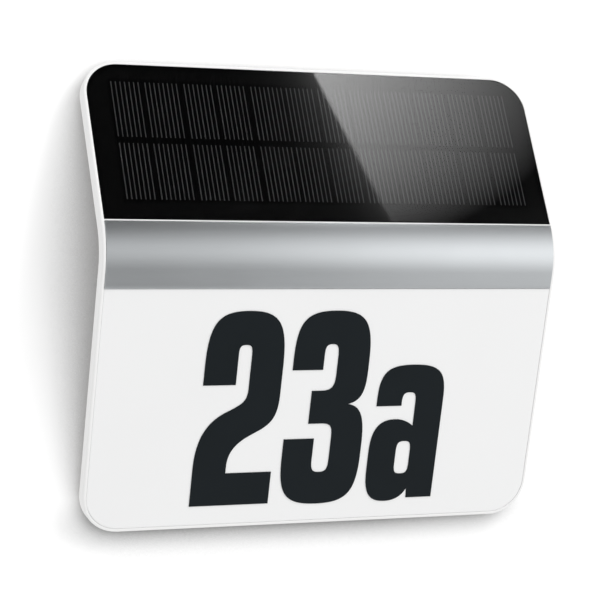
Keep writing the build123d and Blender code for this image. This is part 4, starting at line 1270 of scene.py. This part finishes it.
@dataclass(frozen=True)
class ScrimCloth(Finish):
    """Softly lit cloth that only gloss sees.

    It is measured in metres across and up the card from its middle. A level band of light crosses
    it, bell-shaped over its height, and a grey part lies below; both rise to the right. Above them
    it is dark, but for a softbox whose left edge slants. The softbox's light is a quadratic of the
    distances out from that edge and down from its top, fitted to the photograph's reflection, and
    a halo fades out to its left.
    """

    middle: Triple
    right: Triple
    up: Triple
    side_light: tuple[float, float] = (0.27, 0.265)
    band_light: float = 2.61
    band_height: float = -0.364
    band_spread: float = 0.843
    low_light: float = 0.83
    low_side: tuple[float, float] = (0.89, 0.33)
    dark_light: float = 0.02
    box_left: float = 0.35
    box_top: float = 1.3
    box_slant: float = 0.09
    box_curve: tuple[float, ...] = (8.25, -16.46, -20.79, -13.41, 51.29, -9.76)
    box_most: float = 8.0
    halo_light: float = 1.1
    halo_fade: float = 38.0

    def lay(self, paint: Paint) -> None:
        """Band and grey part below, softbox and halo above, all under a faint weave."""
        across = paint.reach(self.middle, self.right)
        height = paint.reach(self.middle, self.up)
        side = self.side_light[0] + self.side_light[1] * across.step(-0.35, 0.215)
        band = self.band_light * (-1.0 * ((height - self.band_height) / self.band_spread) ** 2.0).exp()
        low_side = self.low_side[0] + self.low_side[1] * across.step(0.0, 0.4)
        low = self.low_light * (1 - height.step(-1.32, -0.02)) * low_side
        below = side * (band + low) * (1 - height.step(0.86, 1.0))
        weave = 0.97 + 0.06 * paint.noise(paint.place(), size=0.25)
        paint.show(paint.glow((below + self.box(across, height) + self.dark_light) * weave))

    def box(self, across: Wire, height: Wire) -> Wire:
        """Light of the softbox and its halo.

        Args:
            across: metres to the right of the card's middle.
            height: metres above it.

        Returns:
            The light's strength.
        """
        out, down = across - self.box_left, self.box_top - height
        light = self.box_curve[0]
        for share, term in zip(self.box_curve[1:], (out, down, out * out, out * down, down * down)):
            light = light + share * term
        beyond = out - self.box_slant * down
        halo = self.halo_light * (self.halo_fade * beyond).exp().held(0.0, 1.0) * height.step(0.9, 1.15)
        lit = beyond.step(-0.004, 0.004)
        light = light.held(0.0, self.box_most) * lit + halo * (1 - lit)
        return light * height.step(0.85, 0.92) * (1 - height.step(1.45, 1.7))


@dataclass
class Studio:
    """Wall, card, lamp, room and camera; none of it belongs to the sign."""

    wall_at: Vector = field(default_factory=lambda: Vector((0, 0.0006, 0)))
    wall_reach: float = 3.0
    card_at: Triple = (0.75, -1.75, 0.55)
    card_faces: Triple = (0.0, -0.02, 0.0)
    card_lowered: float = 0.6
    card_half: tuple[float, float] = (2.6, 3.0)
    key_at: Vector = field(default_factory=lambda: Vector((1.3, -1.5, 1.5)))
    key_target: Vector = field(default_factory=lambda: Vector((0, 0, -0.05)))
    key_side: float = 0.9
    key_power: float = 16.0
    ambient: float = 0.9
    ambient_side: float = 0.1
    camera_at: Vector = field(default_factory=lambda: Vector((-422.9, -990.5, -51.5)) * MM)
    yaw: float = 23.023
    pitch: float = -0.218
    roll: float = -0.1
    lens: float = 127.24
    film_width: float = 36.0
    clip: tuple[float, float] = (0.05, 50.0)

    def quad(self, name: str, centre: Vector, right: Vector, up: Vector, cover: Finish) -> Piece:
        """A flat stage piece that faces along right x up, with corners centre -/+ right -/+ up.

        Args:
            name: its name.
            centre: its middle.
            right: half its width as a vector.
            up: half its height as a vector.
            cover: its finish.

        Returns:
            The piece.
        """
        mesh = bpy.data.meshes.new(name)
        corners = [centre - right - up, centre + right - up, centre + right + up, centre - right + up]
        mesh.from_pydata([tuple(c) for c in corners], [], [(0, 1, 2, 3)])
        mesh.materials.append(cover.material(f"finish_{name}"))
        made = linked(name, mesh)
        return made

    def wall(self) -> None:
        """White wall just behind the bracket."""
        reach = self.wall_reach
        self.quad("wall", self.wall_at, Vector((reach, 0, 0)), Vector((0, 0, reach)), WallPaint())

    def scrim(self) -> None:
        """Large card in front of the sign, turned to it and seen by reflections alone."""
        middle = np.array(self.card_at)
        towards = np.array(self.card_faces) - middle
        towards /= np.linalg.norm(towards)
        right = np.cross(towards, [0.0, 0.0, 1.0])
        right /= np.linalg.norm(right)
        up = np.cross(right, towards)
        cloth = ScrimCloth(tuple(middle), tuple(right), tuple(up))
        half_width, half_height = self.card_half
        centre = Vector(middle - up * self.card_lowered)
        made = self.quad("scrim", centre, Vector(right * half_width), Vector(up * half_height), cloth)
        made.visible_camera = made.visible_diffuse = made.visible_shadow = made.visible_transmission = False

    def key(self) -> None:
        """Soft square lamp at the upper right, turned to the sign."""
        data = bpy.data.lights.new("key", "AREA")
        data.size, data.energy = self.key_side, self.key_power
        made = linked("key", data)
        turn = (self.key_target - self.key_at).to_track_quat("-Z", "Y").to_matrix().to_4x4()
        made.matrix_world = Matrix.Translation(self.key_at) @ turn
        made.visible_camera = made.visible_glossy = False

    def world(self) -> None:
        """Even light all round, a little stronger to the right; camera, gloss and glass see white."""
        made = bpy.data.worlds.new("room")
        made.use_nodes = True
        bpy.context.scene.world = made
        paint = Paint(made.node_tree)
        direct = (paint.ray(Ray.CAMERA) + paint.ray(Ray.GLOSSY) + paint.ray(Ray.TRANSMISSION)).held(0.0, 1.0)
        across = paint.parts(paint.node("ShaderNodeTexCoord", out="Generated"))[0]
        room = self.ambient + self.ambient_side * across
        paint.show(paint.glow(room + (1.0 - room) * direct, "ShaderNodeBackground"), "ShaderNodeOutputWorld")

    def camera(self) -> None:
        """Camera at the photograph's place, worked out from its yaw, pitch and roll in degrees."""
        yaw, pitch, roll = np.radians([self.yaw, self.pitch, self.roll])
        ahead = np.array([np.sin(yaw) * np.cos(pitch), np.cos(yaw) * np.cos(pitch), np.sin(pitch)])
        level = np.array([np.cos(yaw), -np.sin(yaw), 0.0])
        upright = np.cross(level, ahead)
        right = np.cos(roll) * level + np.sin(roll) * upright
        up = np.cos(roll) * upright - np.sin(roll) * level
        data = bpy.data.cameras.new("photo_camera")
        data.sensor_width, data.lens = self.film_width, self.lens
        data.clip_start, data.clip_end = self.clip
        made = linked("photo_camera", data)
        place = np.eye(4)
        place[:3] = np.column_stack([right, up, -ahead, np.array(self.camera_at)])
        made.matrix_world = Matrix(place.tolist())
        bpy.context.scene.camera = made

    def set_up(self) -> None:
        """Build the whole studio."""
        for build in (self.wall, self.scrim, self.key, self.world, self.camera):
            build()
        bpy.context.scene.view_settings.view_transform = "Standard"


def main() -> None:
    """Load the frame, build and dress each sub-assembly, set up the studio and note the sizes."""
    logging.basicConfig(level=logging.INFO, format="%(message)s", stream=sys.stdout)
    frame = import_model()
    for kind in (SolarHalf, FoldBar, NumberHalf, Housing, Works, BatteryDoor, SwitchKnob, Bracket):
        group = kind(frame["nodes"])
        group.build()
        group.dress()
        group.report()
    Studio().set_up()


if __name__ == "__main__":
    main()
